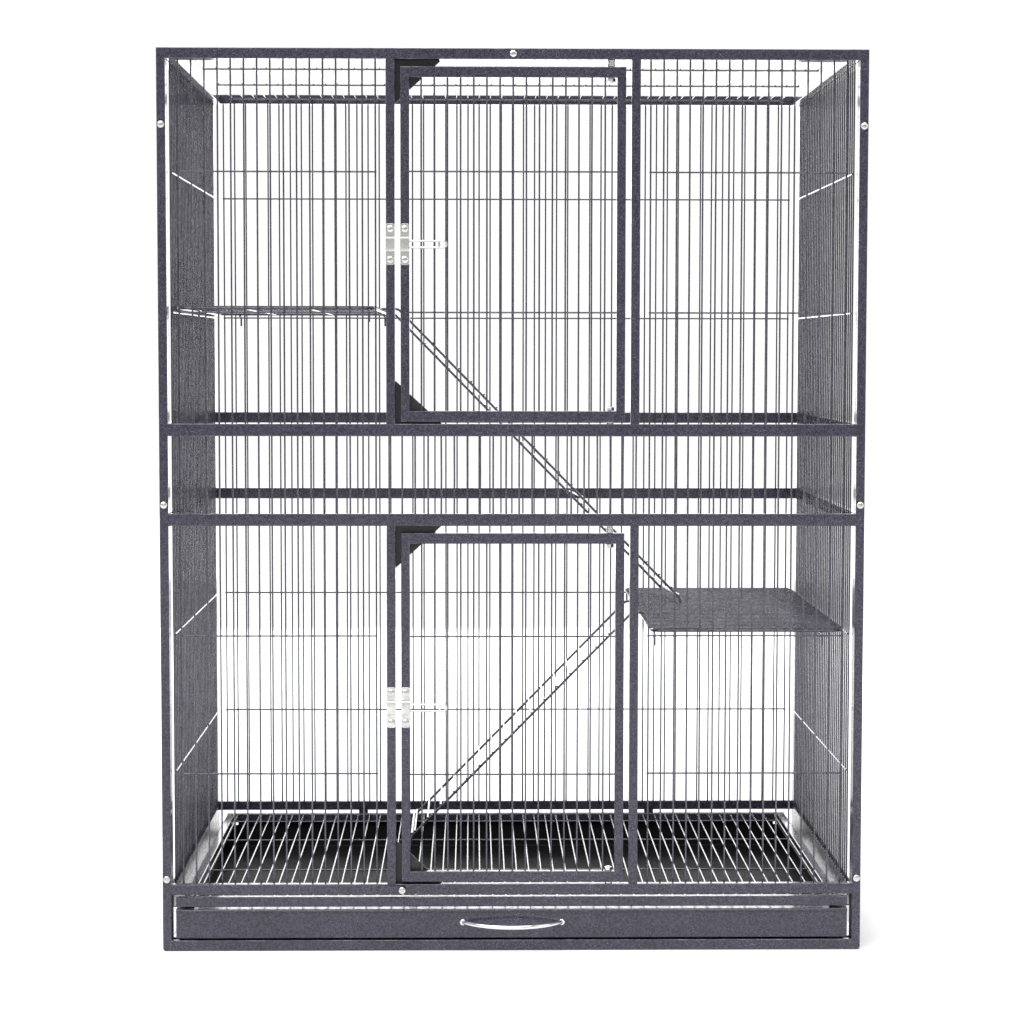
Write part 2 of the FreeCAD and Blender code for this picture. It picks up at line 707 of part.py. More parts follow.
def make_tray_handle():
    """A bow of round wire, bent in a level arc, with a stud and a nut at each end."""
    feet = [Vector(side * tray_handle_half, drawer_front_y, tray_handle_z) for side in (-1, 1)]
    middle = Vector(0, front - handle_reach + tray_handle_r, tray_handle_z)
    arc = Part.Arc(feet[0], middle, feet[1])
    section = Part.Wire(Part.makeCircle(tray_handle_r, feet[0], arc.tangent(arc.FirstParameter)[0]))
    bow = Part.Wire([arc.toShape()]).makePipeShell([section], True, True)
    behind = block(-drawer_half, drawer_half, drawer_front_y, back, 0, grate_z)
    pieces, nuts = [bow.cut(behind)], []
    for foot in feet:
        collar_start = foot - Vector(0, handle_collar_height, 0)
        pieces.append(rod(collar_start, foot, handle_collar_r))
        pieces.append(rod(collar_start, foot + Vector(0, handle_stud_length, 0), handle_stud_r))
        nut_start = foot + Vector(0, sheet, 0)
        nut_end = nut_start + Vector(0, handle_nut_height, 0)
        nuts.append(rod(nut_start, nut_end, handle_nut_r).cut(rod(nut_start, nut_end, handle_stud_r)))
    save("tray_handle", joined(pieces))
    save("handle_nuts", nuts)


def make_lock_tab():
    """A swivel tab on a screw in the base rail, drawn at rest turned aside to the left, level."""
    y0 = front - tab_gap - tab_thickness
    pivot = Vector(tab_x, y0, tab_z)
    half = tab_width / 2
    far_x = tab_x - tab_length + tab_width
    body = block(far_x, tab_x, y0, y0 + tab_thickness, tab_z - half, tab_z + half)
    ends = [Part.makeCylinder(half, tab_thickness, pivot + Vector(offset, 0, 0), Vector(0, 1, 0))
            for offset in (0, far_x - tab_x)]
    tab = joined([body] + ends)
    tab = tab.cut(Part.makeCylinder(screw_r + running_gap, tab_thickness, pivot, Vector(0, 1, 0)))
    save("lock_tab", tab)

    head_at = pivot - Vector(0, running_gap, 0)
    screw = pan_head_screw(head_at, Vector(0, 1, 0), tab_gap + tab_thickness + running_gap + tube_wall)
    collar_start = Vector(tab_x, front - tab_gap + running_gap, tab_z)
    collar = rod(collar_start, Vector(tab_x, front, tab_z), tab_collar_r)
    save("lock_tab_screw", joined([screw, collar]))
    return Part.makeCylinder(screw_r, tube_wall, Vector(tab_x, front, tab_z), Vector(0, 1, 0))


# ---- build -------------------------------------------------------------------------------------------
front_holes = [make_lock_tab()]
for name in ("upper", "lower"):
    make_door(name)
    front_holes += make_pivots(name)
    make_stops(name)
    make_latch(name)
    make_shelf(name)
    front_holes += latch_holes(-opening_half - tube / 2, latch_levels[name])

save("front_frame", cut_where_met(make_front_frame(), front_holes))
save("back_frame", make_back_frame())
save("left_side_frame", make_side_frame(-1))
save("right_side_frame", make_side_frame(1))
save("top_frame", make_top_frame())
make_panel_meshes()
make_panel_fasteners()
make_ladder("upper", upper_ladder_step, upper_ladder_foot_x, shelf_rim_z("lower") + upper_ladder_foot_gap,
            skew=upper_ladder_skew)
make_ladder("lower", lower_ladder_step, lower_ladder_foot_x, grate_z + grate_height + lower_ladder_foot_gap)
make_runners()
make_rear_stops()
make_grate()
make_tray()
make_tray_handle()
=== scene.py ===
"""The looks of a two-storey wire rabbit cage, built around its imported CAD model.

Metres, +Z up, -Y the front. Each piece stands for one CAD node and keeps that node's place and size.
"""

import json
import math
import random

import bmesh
import bpy
from mathutils import Matrix, Vector


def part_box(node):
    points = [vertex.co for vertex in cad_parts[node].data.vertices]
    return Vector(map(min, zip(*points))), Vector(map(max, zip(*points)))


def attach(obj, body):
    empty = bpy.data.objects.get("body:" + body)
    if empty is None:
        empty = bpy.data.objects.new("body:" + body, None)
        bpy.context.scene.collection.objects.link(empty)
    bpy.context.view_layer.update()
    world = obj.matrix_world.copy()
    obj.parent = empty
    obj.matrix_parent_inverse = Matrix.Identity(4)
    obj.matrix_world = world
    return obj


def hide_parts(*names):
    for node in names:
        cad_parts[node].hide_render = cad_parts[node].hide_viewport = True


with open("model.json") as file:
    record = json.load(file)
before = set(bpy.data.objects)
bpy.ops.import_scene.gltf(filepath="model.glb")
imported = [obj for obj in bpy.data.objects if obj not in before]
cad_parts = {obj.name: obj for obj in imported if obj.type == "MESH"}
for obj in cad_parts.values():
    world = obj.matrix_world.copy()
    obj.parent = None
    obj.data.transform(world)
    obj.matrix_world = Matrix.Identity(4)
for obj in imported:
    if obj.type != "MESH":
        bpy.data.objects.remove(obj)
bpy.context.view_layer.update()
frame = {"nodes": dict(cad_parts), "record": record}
random.seed(11)

# ---- sizes shared with the CAD -------------------------------------------------------------------
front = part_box("front_frame")[0].y
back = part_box("back_frame")[1].y
half_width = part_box("front_frame")[1].x
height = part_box("front_frame")[1].z
mid_y = (front + back) / 2

TUBE = 0.010
RAIL = 0.012
MID_RAIL = 0.014
SAME_POINT = 1e-6            # points nearer than this are merged
EDGE_R = 0.0013              # the rounding along a square tube's edges
FLOOR_CORNER_R = 0.003
BASE_RAIL_Z = 0.064
LOWER_MID_Z = 0.482
UPPER_MID_Z = 0.5825
TOP_RAIL_Z = height - RAIL
MIDDLE_RAILS = ((BASE_RAIL_Z, RAIL), (LOWER_MID_Z, MID_RAIL), (UPPER_MID_Z, MID_RAIL))
inner_x = half_width - TUBE
BUTT = 0.0003                # how far a butted tube runs into the one it is welded to
SEAM_INSET = 0.001           # from a tube's edge to the end of its weld bead

WIRE_R = 0.001
PITCH = 0.0146
CROSS_OFFSET = 0.0016
WIRE_END = 0.0013
WIRE_BOW = 0.00025           # no drawn wire is quite straight
WIRE_LEVELS = (0.2002, 0.3569, 0.7206, 0.8768)
NUGGET_R = 0.00125
MESH_BOTTOM_Z = BASE_RAIL_Z + 0.007
STRIP_START = 0.0118
MIDDLE_MESH_LAP = 0.0062
MIDDLE_CROSS_INSET = 0.002
TOP_CROSS_OFFSETS = (0.143, 0.314, 0.485)
GRATE_CROSS_OFFSETS = (0.160, 0.338, 0.460)
GRATE_WIRE_SINK = 0.0006
GRATE_SIDE_LUG = 0.008       # how far the grate's front tube runs past its sides

OPENING_HALF = 0.1315
STOP_OVERLAP = 0.0055
STOP_LEG_X = 0.052
STOP_LEG_Z = 0.048
STOP_THICKNESS = 0.0015
PIVOT_X = 0.1088
PIVOT_R = 0.0025
NUT_FLATS = 0.008
NUT_HEIGHT = 0.004

SCREW_HEAD_R = 0.004
SCREW_HEAD_HEIGHT = 0.0024
SCREW_SHANK_R = 0.0019
PANEL_SCREW_LENGTH = 0.0165
PANEL_SCREW_LEVELS = (0.082, 0.5055, 0.9275)
LATCH_SCREW_LENGTH = 0.0026
TURNING_GAP = 0.0003         # between a turning part and what it turns against
LATCH_LEVELS = {"upper": 0.796, "lower": 0.2775}
LATCH_PLATE_HEIGHT = 0.046
LATCH_PLATE_THICKNESS = 0.0015
LATCH_STRAP_HALF = 0.0065
LATCH_STRAP_LIFT = 0.0031
LATCH_SCREW_OFFSET = 0.017
LATCH_CORNER_R = 0.0025
LATCH_STRAP_SINK = 0.0002    # how far the strap's feet run into the plate
LINK_R = 0.0012
LINK_GRIP_INSET = 0.009

SHELF_WIRE_R = 0.0015
SHELF_INNER_X = {"upper": -0.155, "lower": 0.158}
SHELF_OUTER_X = 0.376
SHELF_MARGIN_Y = 0.022
SHELF_CORNER = 0.012
SHELF_HOOKS = (0.1606, 0.3504)
SHELF_HOOK_R = 0.00125
SHELF_HOOK_SINK = 0.00225
SHELF_HOOK_DROP = 0.013
SHELF_HOOK_START = 0.009
SHELF_HOOK_TURN_R = 0.0022
SHELF_WELD = 0.0005
SHELF_HOOK_NUGGET_R = 0.0017
SHELF_LEVELS = {"upper": WIRE_LEVELS[2], "lower": WIRE_LEVELS[1]}
SHELF_ROWS = range(-16, 17)

LADDER_R = 0.0015
RUNG_R = 0.0011
RUNG_PITCH = 0.0222
LADDER_STEPS = 9
LADDER_HOOK_R = 0.0039
LADDER_HOOK_DROP = 0.0035
LADDER_RUN = 0.012
LADDER_BEND_R = 0.008
LADDER_FOOT = {"upper": 0.007, "lower": 0.033}
LADDER_TOE = {"upper": 0.001, "lower": 0.006}
LADDER_FOOT_BEND_R = {"upper": 0.006, "lower": 0.014}
LADDER_FOOT_BAR_LIFT = 0.003
LADDER_FOOT_X = {"upper": 0.205, "lower": -0.118}
LADDER_NEAR_STEP = {"upper": 1, "lower": -6}
LADDER_SKEW = {"upper": 0.013, "lower": 0.0}
RUNG_OVERHANG = 0.001
RUNG_BOW = 3e-4
FIRST_RUNG = 0.7
RUNG_WELD = 0.0004

TRAY_LIP_R = 0.002
TRAY_SHEET = 0.0015
TRAY_FLANGE = 0.012
TRAY_FOOT = 0.008
TRAY_HANDLE_HALF = 0.056
TRAY_HANDLE_R = 0.0024
TRAY_HANDLE_Z = 0.032
HANDLE_NUT_R = 0.0036
PAN_WALL = 0.0018
PAN_CORNER_R = 0.003
PAN_DROP = 0.0025            # from the drawer front's top to the pan's rim
PAN_BACK_HALF = 0.358        # the pan's back wall is higher over this much of its width

X, Y, Z = Vector((1, 0, 0)), Vector((0, 1, 0)), Vector((0, 0, 1))


# ---- the panels' planes: u along the panel, v up or back, d through its thickness ----------------
def upright(u, v, d):
    return Vector((u, d, v))


def sideways(u, v, d):
    return Vector((d, u, v))


def level(u, v, d):
    return Vector((u, v, d))


def turned(plane):
    """The same plane with u and v exchanged, for tubes that run along v."""
    return lambda u, v, d: plane(v, u, d)


# ---- shapes --------------------------------------------------------------------------------------
class Shape:
    """The points and faces of one piece, with how much painted edge highlight each point gets."""

    def __init__(self):
        self.points = []
        self.faces = []
        self.edge_highlight = []

    def add(self, points, faces, edge_highlight=0.0):
        first = len(self.points)
        self.points += [Vector(point) for point in points]
        self.edge_highlight += list(edge_highlight) if isinstance(edge_highlight, (list, tuple)) else [edge_highlight] * len(points)
        self.faces += [[first + index for index in face] for face in faces]

    def loft(self, rings, closed=False, edge_highlight=0.0):
        """Joins rings of equally many points with quads, and caps both ends unless the rings close."""
        size, count = len(rings[0]), len(rings)
        faces = []
        for a in range(count if closed else count - 1):
            b = (a + 1) % count
            for k in range(size):
                following = (k + 1) % size
                faces.append([a * size + k, a * size + following, b * size + following, b * size + k])
        if not closed:
            faces.append(list(range(size)))
            faces.append([(count - 1) * size + k for k in range(size)])
        self.add([point for ring in rings for point in ring], faces, edge_highlight)


def circle(centre, side, other, radius, sides):
    turns = [2 * math.pi * k / sides for k in range(sides)]
    return [centre + (side * math.cos(a) + other * math.sin(a)) * radius for a in turns]


def rod(shape, start, end, radius, bow=None, sides=12, edge_highlight=0.0):
    """A straight wire with softly rounded ends, bowed a little in the middle if asked."""
    along = (end - start).normalized()
    side = along.orthogonal().normalized()
    other = along.cross(side)
    tip = along * radius * 0.4
    stations = [(start, 0.65), (start + tip, 1.0), (end - tip, 1.0), (end, 0.65)]
    if bow is not None:
        stations.insert(2, ((start + end) / 2 + bow, 1.0))
    shape.loft([circle(centre, side, other, radius * share, sides) for centre, share in stations], edge_highlight=edge_highlight)


def lathe(shape, base, axis, profile, sides=32, closed=False, edge_highlight=0.0):
    """Turns a profile of (distance along axis, radius) about the axis."""
    side = axis.orthogonal().normalized()
    other = axis.cross(side)
    rings = [circle(base + axis * along, side, other, radius, sides) for along, radius in profile]
    shape.loft(rings, closed=closed, edge_highlight=edge_highlight)


def nugget(shape, centre, axis=Z, radius=NUGGET_R):
    """The small swelling of a resistance weld where two wires cross."""
    profile = [(radius * math.sin(a), radius * math.cos(a)) for a in
               (math.radians(degrees) for degrees in (-80, -45, 0, 45, 80))]
    lathe(shape, centre, axis, profile, sides=8)


def bent(points, radii, closed=False, steps=7):
    """A path with an arc of the given radius at each turn."""
    count = len(points)
    path = [] if closed else [points[0]]
    for index, radius in zip(range(count) if closed else range(1, count - 1), radii):
        here = points[index]
        before = (points[index - 1] - here).normalized()
        after = (points[(index + 1) % count] - here).normalized()
        half = before.angle(after) / 2
        centre = here + (before + after).normalized() * (radius / math.sin(half))
        first = (here + before * (radius / math.tan(half)) - centre).normalized()
        last = (here + after * (radius / math.tan(half)) - centre).normalized()
        path += [centre + first.slerp(last, k / steps) * radius for k in range(steps + 1)]
    return path if closed else path + [points[-1]]


def sweep(shape, path, radius, normal, closed=False, sides=14, edge_highlight=0.0):
    """A round wire along a path that lies in one plane, whose normal is given."""
    if not closed:
        tip = radius * 0.4
        start, end = path[0], path[-1]
        path = [start, start + (path[1] - start).normalized() * tip] + path[1:-1] + [
            end + (path[-2] - end).normalized() * tip, end]
    count = len(path)
    rings = []
    for index, here in enumerate(path):
        before = path[index - 1] if closed or index else here
        after = path[(index + 1) % count] if closed or index < count - 1 else here
        tangent = (after - before).normalized()
        share = 1.0 if closed or 0 < index < count - 1 else 0.65
        rings.append(circle(here, tangent.cross(normal).normalized(), normal, radius * share, sides))
    shape.loft(rings, closed=closed, edge_highlight=edge_highlight)


def arc_points(centre, radius, first, last, steps=6):
    """Points of an arc in a two-number plane, with its angles in degrees."""
    angles = [math.radians(first + (last - first) * k / steps) for k in range(steps + 1)]
    return [(centre[0] + radius * math.cos(a), centre[1] + radius * math.sin(a)) for a in angles]


def extruded(shape, outline, plane, d0, d1):
    """A flat outline in u and v, with thickness from d0 to d1."""
    shape.loft([[plane(u, v, d) for u, v in outline] for d in (d0, d1)])


def rounded_rectangle(u0, u1, v0, v1, radius, steps=5):
    corners = ((u1 - radius, v1 - radius, 0), (u0 + radius, v1 - radius, 90),
               (u0 + radius, v0 + radius, 180), (u1 - radius, v0 + radius, 270))
    return [point for u, v, first in corners
            for point in arc_points((u, v), radius, first, first + 90, steps)]


def tube_section(v0, v1, d0, d1, steps=4):
    """A square tube's rounded outline as (v, d) points, and how much painted highlight each gets: most at
    the middle of each rounded edge.
    """
    outline = rounded_rectangle(v0, v1, d0, d1, EDGE_R, steps)
    edge_highlight = [math.sin(math.pi * (k % (steps + 1)) / steps) for k in range(len(outline))]
    return outline, edge_highlight


def tube(shape, plane, u0, u1, v0, v1, d0, d1):
    """A straight square tube along u, with ends that run a little into what they are welded to."""
    outline, edge_highlight = tube_section(v0, v1, d0, d1)
    shape.loft([[plane(u, v, d) for v, d in outline] for u in (u0 - BUTT, u1 + BUTT)], edge_highlight=edge_highlight * 2)


def mitred_frame(shape, plane, u0, u1, v0, v1, d0, d1, stile=TUBE, rail=RAIL, floor_r=0.0):
    """Four square tubes welded at mitred corners and ground flush, as one closed ring."""
    outline, edge_highlight = tube_section(0, rail, d0, d1)
    rings = []
    for u, v, side_u, side_v, radius, turn in (
            (u0, v0, -1, -1, floor_r, (0, 90)), (u1, v0, 1, -1, floor_r, (90, 0)),
            (u1, v1, 1, 1, 0.0, (0, 90)), (u0, v1, -1, 1, 0.0, (90, 0))):
        steps = 4 if radius else 0
        for k in range(steps + 1):
            a = math.radians(turn[0] + (turn[1] - turn[0]) * k / max(steps, 1))
            ring = []
            for inset, d in outline:
                in_u, in_v = inset * stile / rail, inset
                around_u = max(radius - in_u, 0.0) * math.cos(a)
                around_v = max(radius - in_v, 0.0) * math.sin(a)
                ring.append(plane(u - side_u * max(radius, in_u) + side_u * around_u,
                                  v - side_v * max(radius, in_v) + side_v * around_v, d))
            rings.append(ring)
    shape.loft(rings, closed=True, edge_highlight=edge_highlight * len(rings))


def weld_seam(shape, start, end, radius=0.0009):
    """A run of weld bead, whose ripples overlap like scales."""
    along = end - start
    count = max(2, int(along.length / (radius * 0.9)))
    rings = []
    direction = along.normalized()
    side = direction.orthogonal().normalized()
    other = direction.cross(side)
    for k in range(count + 1):
        ripple = 1.0 if k % 2 else 0.82
        share = 0.3 if k in (0, count) else ripple
        rings.append(circle(start + along * (k / count), side, other, radius * share, 8))
    shape.loft(rings)


def finished(shape, node, bevel=0.0, crease=38.0, weld_points=0.0):
    """Makes the piece that stands for a CAD node, on its body and with its material slot."""
    mesh = bpy.data.meshes.new(node + "_look")
    mesh.from_pydata([tuple(point) for point in shape.points], [], shape.faces)
    # Each point's share of the painted edge highlight, which the paint reads.
    attribute = mesh.attributes.new("edge_highlight", "FLOAT", "POINT")
    attribute.data.foreach_set("value", shape.edge_highlight)
    work = bmesh.new()
    work.from_mesh(mesh)
    if weld_points:
        bmesh.ops.remove_doubles(work, verts=work.verts, dist=weld_points)
        bmesh.ops.dissolve_degenerate(work, dist=weld_points, edges=work.edges)
    bmesh.ops.recalc_face_normals(work, faces=work.faces)
    work.to_mesh(mesh)
    work.free()
    mesh.polygons.foreach_set("use_smooth", [True] * len(mesh.polygons))
    mesh.set_sharp_from_angle(angle=math.radians(crease))
    piece = bpy.data.objects.new(node + "_look", mesh)
    bpy.context.scene.collection.objects.link(piece)
    if bevel:
        rounding = piece.modifiers.new("edges", "BEVEL")
        rounding.width = bevel
        rounding.segments = 2
        rounding.limit_method = "ANGLE"
        rounding.angle_limit = math.radians(crease)
        rounding.harden_normals = True
    else:
        normals = piece.modifiers.new("normals", "WEIGHTED_NORMAL")
        normals.keep_sharp = True
    mesh.materials.append(materials[slot_of[node]])
    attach(piece, body_of[node])
    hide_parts(node)
    return piece


# ---- materials -----------------------------------------------------------------------------------
class Surface:
    """A material whose nodes are made with short calls."""

    def __init__(self, name, **constants):
        self.material = bpy.data.materials.new(name)
        self.material.use_nodes = True
        self.tree = self.material.node_tree
        self.shader = self.tree.nodes["Principled BSDF"]
        self.place = self.tree.nodes.new("ShaderNodeTexCoord").outputs["Object"]
        for socket, value in constants.items():
            self.shader.inputs[socket.replace("_", " ")].default_value = value

    def node(self, kind, links=(), values=(), **settings):
        made = self.tree.nodes.new("ShaderNode" + kind)
        for name, value in settings.items():
            setattr(made, name, value)
        for socket, value in dict(values).items():
            made.inputs[socket].default_value = value
        for socket, source in dict(links).items():
            self.tree.links.new(source, made.inputs[socket])
        return made

    def noise(self, scale, detail=3.0, roughness=0.5, place=None):
        made = self.node("TexNoise", {"Vector": place or self.place},
                         {"Scale": scale, "Detail": detail, "Roughness": roughness})
        return made.outputs["Fac"]

    def stretched(self, scale):
        """Places drawn out along the axes by different amounts, for brushed or drawn grain."""
        return self.node("Mapping", {"Vector": self.place}, {"Scale": scale}).outputs["Vector"]

    def cells(self, scale, warp=0.0, warp_scale=1.0):
        """Distance to the nearest cell's middle, with the cells pushed about by noise."""
        place = self.place
        if warp:
            noise = self.node("TexNoise", {"Vector": self.place}, {"Scale": warp_scale, "Detail": 2.0})
            place = self.node("VectorMath", {0: noise.outputs["Color"], 2: self.place},
                              {1: (warp, warp, warp)}, operation="MULTIPLY_ADD").outputs["Vector"]
        made = self.node("TexVoronoi", {"Vector": place}, {"Scale": scale, "Smoothness": 0.6},
                         feature="SMOOTH_F1")
        return made.outputs["Distance"]

    def span(self, value, low, high, to_low=0.0, to_high=1.0):
        """A value's stretch from low to high mapped to another, and held at its ends."""
        made = self.node("MapRange", {"Value": value}, {"From Min": low, "From Max": high,
                                                        "To Min": to_low, "To Max": to_high})
        return made.outputs["Result"]

    def times(self, a, b):
        return self.node("Math", {0: a, 1: b}, operation="MULTIPLY").outputs["Value"]

    def mixed(self, share, a, b):
        """Colour a where share is 0 and b where it is 1; each is a colour or a node's output."""
        made = self.node("Mix", data_type="RGBA")
        self.tree.links.new(share, made.inputs["Factor"])
        for index, colour in ((6, a), (7, b)):
            if isinstance(colour, tuple):
                made.inputs[index].default_value = (*colour, 1.0)
            else:
                self.tree.links.new(colour, made.inputs[index])
        return made.outputs[2]

    def bumps(self, *layers):
        """Each layer is a height, its strength and its depth in metres."""
        normal = None
        for height_at, strength, depth in layers:
            made = self.node("Bump", {"Height": height_at}, {"Strength": strength, "Distance": depth})
            if normal is not None:
                self.tree.links.new(normal, made.inputs["Normal"])
            normal = made.outputs["Normal"]
        self.tree.links.new(normal, self.shader.inputs["Normal"])

    def set(self, socket, source):
        self.tree.links.new(source, self.shader.inputs[socket])

    def edge_highlight_share(self, low, high):
        """A painted highlight along rounded edges, broken up by noise."""
        edge = self.node("Attribute", attribute_name="edge_highlight").outputs["Fac"]
        return self.span(self.times(edge, self.noise(60.0, 6.0, 0.7)), low, high)


def hammered_paint():
    """Dark slate hammer-finish powder coat: shallow dimples, fine light flecks, and a painted highlight
    along the rounded edges.
    """
    made = Surface("hammered_paint", Metallic=0.2, Coat_Weight=0.7, Coat_Roughness=0.12,
                   Specular_IOR_Level=0.3)
    dimples = made.cells(330.0, warp=0.0022, warp_scale=240.0)
    flecks = made.span(made.noise(1100.0, 2.0, 0.6), 0.58, 0.66)
    drift = made.span(made.noise(14.0, 4.0, 0.6), 0.3, 0.7)
    ground = made.mixed(drift, (0.0095, 0.0080, 0.0165), (0.017, 0.0148, 0.028))
    raised = made.mixed(made.span(dimples, 0.25, 0.75), ground, (0.036, 0.032, 0.056))
    fleck_share = made.times(flecks, made.span(drift, 0.0, 1.0, 0.35, 0.8))
    speckled = made.mixed(fleck_share, raised, (0.26, 0.25, 0.33))
    # Lighter grey along the rounded tube edges, broken by noise: a painted highlight.
    coloured = made.mixed(made.edge_highlight_share(0.42, 0.62), speckled, (0.20, 0.20, 0.22))
    made.set("Base Color", coloured)
    made.set("Roughness", made.span(made.noise(90.0, 3.0), 0.3, 0.7, 0.24, 0.42))
    made.bumps((dimples, 0.6, 0.0009), (made.noise(900.0, 2.0), 0.15, 0.0003))
    return made.material


def wire_paint():
    """The same coat on drawn wire, its ground coloured lighter than the frames' as a painted sheen, with a
    few lighter runs and pinholes.
    """
    made = Surface("wire_paint", Metallic=0.55, Coat_Weight=0.5, Coat_Roughness=0.14)
    runs = made.span(made.noise(35.0, 5.0, 0.65), 0.35, 0.72)
    # The whole ground is lighter than the frames' coat: painted sheen. The runs vary its tone at random.
    ground = made.mixed(runs, (0.040, 0.037, 0.053), (0.098, 0.094, 0.119))
    flecks = made.span(made.noise(1300.0, 2.0, 0.6), 0.60, 0.72)
    made.set("Base Color", made.mixed(flecks, ground, (0.34, 0.34, 0.37)))
    made.set("Roughness", made.span(made.noise(160.0, 3.0), 0.3, 0.7, 0.16, 0.32))
    made.bumps((made.cells(520.0, warp=0.001, warp_scale=400.0), 0.3, 0.0004),)
    return made.material


def stop_paint():
    """Near-black satin coat on pressed plate, slightly orange-peeled."""
    made = Surface("stop_paint", Metallic=0.1, Coat_Weight=0.25, Coat_Roughness=0.25)
    drift = made.span(made.noise(45.0, 5.0, 0.6), 0.3, 0.7)
    made.set("Base Color", made.mixed(drift, (0.008, 0.008, 0.010), (0.018, 0.018, 0.022)))
    made.set("Roughness", made.span(made.noise(220.0, 3.0), 0.3, 0.7, 0.34, 0.52))
    made.bumps((made.noise(650.0, 2.0), 0.25, 0.0004),)
    return made.material


def zinc():
    """Bright zinc plate: faint spangle, drawn grain, duller in patches."""
    made = Surface("zinc", Metallic=1.0)
    patches = made.span(made.noise(120.0, 5.0, 0.65), 0.35, 0.7)
    grain = made.noise(1.0, 4.0, 0.7, place=made.stretched((350.0, 350.0, 4200.0)))
    ground = made.mixed(patches, (0.72, 0.72, 0.70), (0.50, 0.50, 0.485))
    made.set("Base Color", made.mixed(made.span(grain, 0.45, 0.75), ground, (0.83, 0.83, 0.81)))
    made.set("Roughness", made.span(patches, 0.0, 1.0, 0.2, 0.4))
    made.bumps((grain, 0.12, 0.0002), (made.noise(800.0, 2.0), 0.1, 0.0002))
    return made.material


def handle_chrome():
    """Polished chrome with faint handling haze."""
    made = Surface("handle_chrome", Metallic=1.0)
    haze = made.span(made.noise(70.0, 6.0, 0.7), 0.4, 0.75)
    made.set("Base Color", made.mixed(haze, (0.86, 0.86, 0.87), (0.72, 0.72, 0.735)))
    made.set("Roughness", made.span(haze, 0.0, 1.0, 0.06, 0.2))
    made.bumps((made.noise(420.0, 2.0), 0.04, 0.0002),)
    return made.material


def tray_plastic():
    """Black moulded plastic, coloured darker still as painted shade of the deep pan, with a fine
    spark-eroded grain and light scuffs.
    """
    made = Surface("tray_plastic", Specular_IOR_Level=0.2)
    scuffs = made.span(made.noise(1.0, 6.0, 0.75, place=made.stretched((30.0, 260.0, 60.0))), 0.58, 0.8)
    drift = made.span(made.noise(9.0, 4.0, 0.6), 0.3, 0.7)
    # Near-black ground: black plastic, darkened further as painted shade of the pan's deep inside.
    ground = made.mixed(drift, (0.004, 0.004, 0.005), (0.008, 0.008, 0.009))
    made.set("Base Color", made.mixed(scuffs, ground, (0.022, 0.022, 0.024)))
    made.set("Roughness", made.span(made.noise(300.0, 3.0), 0.3, 0.7, 0.5, 0.68))
    made.bumps((made.noise(1600.0, 2.0), 0.3, 0.0002),)
    return made.material


def floor_paint():
    """Pale studio paper with hardly any mottling."""
    made = Surface("studio_floor", Specular_IOR_Level=0.2)
    made.set("Base Color", made.mixed(made.noise(3.0, 4.0), (0.90, 0.90, 0.91), (0.93, 0.93, 0.935)))
    made.set("Roughness", made.span(made.noise(12.0, 3.0), 0.3, 0.7, 0.6, 0.75))
    return made.material


record = frame["record"]
body_of = {node: body for body, nodes in record["behaviour"]["bodies"].items() for node in nodes}
slot_of = {part["node"]: part["material_slot"] for part in record["subparts"]}
materials = {"hammered_paint": hammered_paint(), "wire_paint": wire_paint(), "stop_paint": stop_paint(),
             "zinc": zinc(), "handle_chrome": handle_chrome(), "tray_plastic": tray_plastic()}


# ---- frames --------------------------------------------------------------------------------------
def middle_rails(shape, plane, u0, u1, d0, d1):
    for z, tall in MIDDLE_RAILS:
        tube(shape, plane, u0, u1, z, z + tall, d0, d1)


def rail_seams(shape, plane, u0, u1, d):
    """Weld beads in the corners over and under each middle rail, on the face at d."""
    for z, tall in MIDDLE_RAILS:
        for u in (u0, u1):
            weld_seam(shape, plane(u, z + SEAM_INSET, d), plane(u, z + tall - SEAM_INSET, d))


def make_front_frame():
    shape = Shape()
    low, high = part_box("front_frame")
    mitred_frame(shape, upright, low.x, high.x, 0.0, height, low.y, high.y, floor_r=FLOOR_CORNER_R)
    middle_rails(shape, upright, -inner_x, inner_x, low.y, high.y)
    for z0, z1 in ((BASE_RAIL_Z + RAIL, LOWER_MID_Z), (UPPER_MID_Z + MID_RAIL, TOP_RAIL_Z)):
        for side in (-1, 1):
            v0, v1 = sorted((side * OPENING_HALF, side * (OPENING_HALF + TUBE)))
            tube(shape, turned(upright), z0, z1, v0, v1, low.y, high.y)
            for z in (z0, z1):
                weld_seam(shape, upright(v0 + SEAM_INSET, z, high.y), upright(v1 - SEAM_INSET, z, high.y))
    rail_seams(shape, upright, -inner_x, inner_x, high.y)
    finished(shape, "front_frame", weld_points=SAME_POINT)


def make_back_frame():
    shape = Shape()
    low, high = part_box("back_frame")
    mitred_frame(shape, upright, low.x, high.x, 0.0, height, low.y, high.y)
    middle_rails(shape, upright, -inner_x, inner_x, low.y, high.y)
    rail_seams(shape, upright, -inner_x, inner_x, low.y)
    finished(shape, "back_frame", weld_points=SAME_POINT)


def make_side_frame(node):
    shape = Shape()
    low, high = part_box(node)
    mitred_frame(shape, sideways, low.y, high.y, 0.0, height, low.x, high.x)
    middle_rails(shape, sideways, low.y + TUBE, high.y - TUBE, low.x, high.x)
    inside = high.x if node.startswith("left") else low.x
    rail_seams(shape, sideways, low.y + TUBE, high.y - TUBE, inside)
    finished(shape, node, weld_points=SAME_POINT)


def make_top_frame():
    shape = Shape()
    low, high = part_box("top_frame")
    mitred_frame(shape, level, low.x, high.x, low.y, high.y, low.z, high.z, rail=TUBE)
    finished(shape, "top_frame", weld_points=SAME_POINT)


# ---- welded wire ---------------------------------------------------------------------------------
def half_grid(count):
    return [PITCH * (k + 0.5) for k in range(-count, count)]


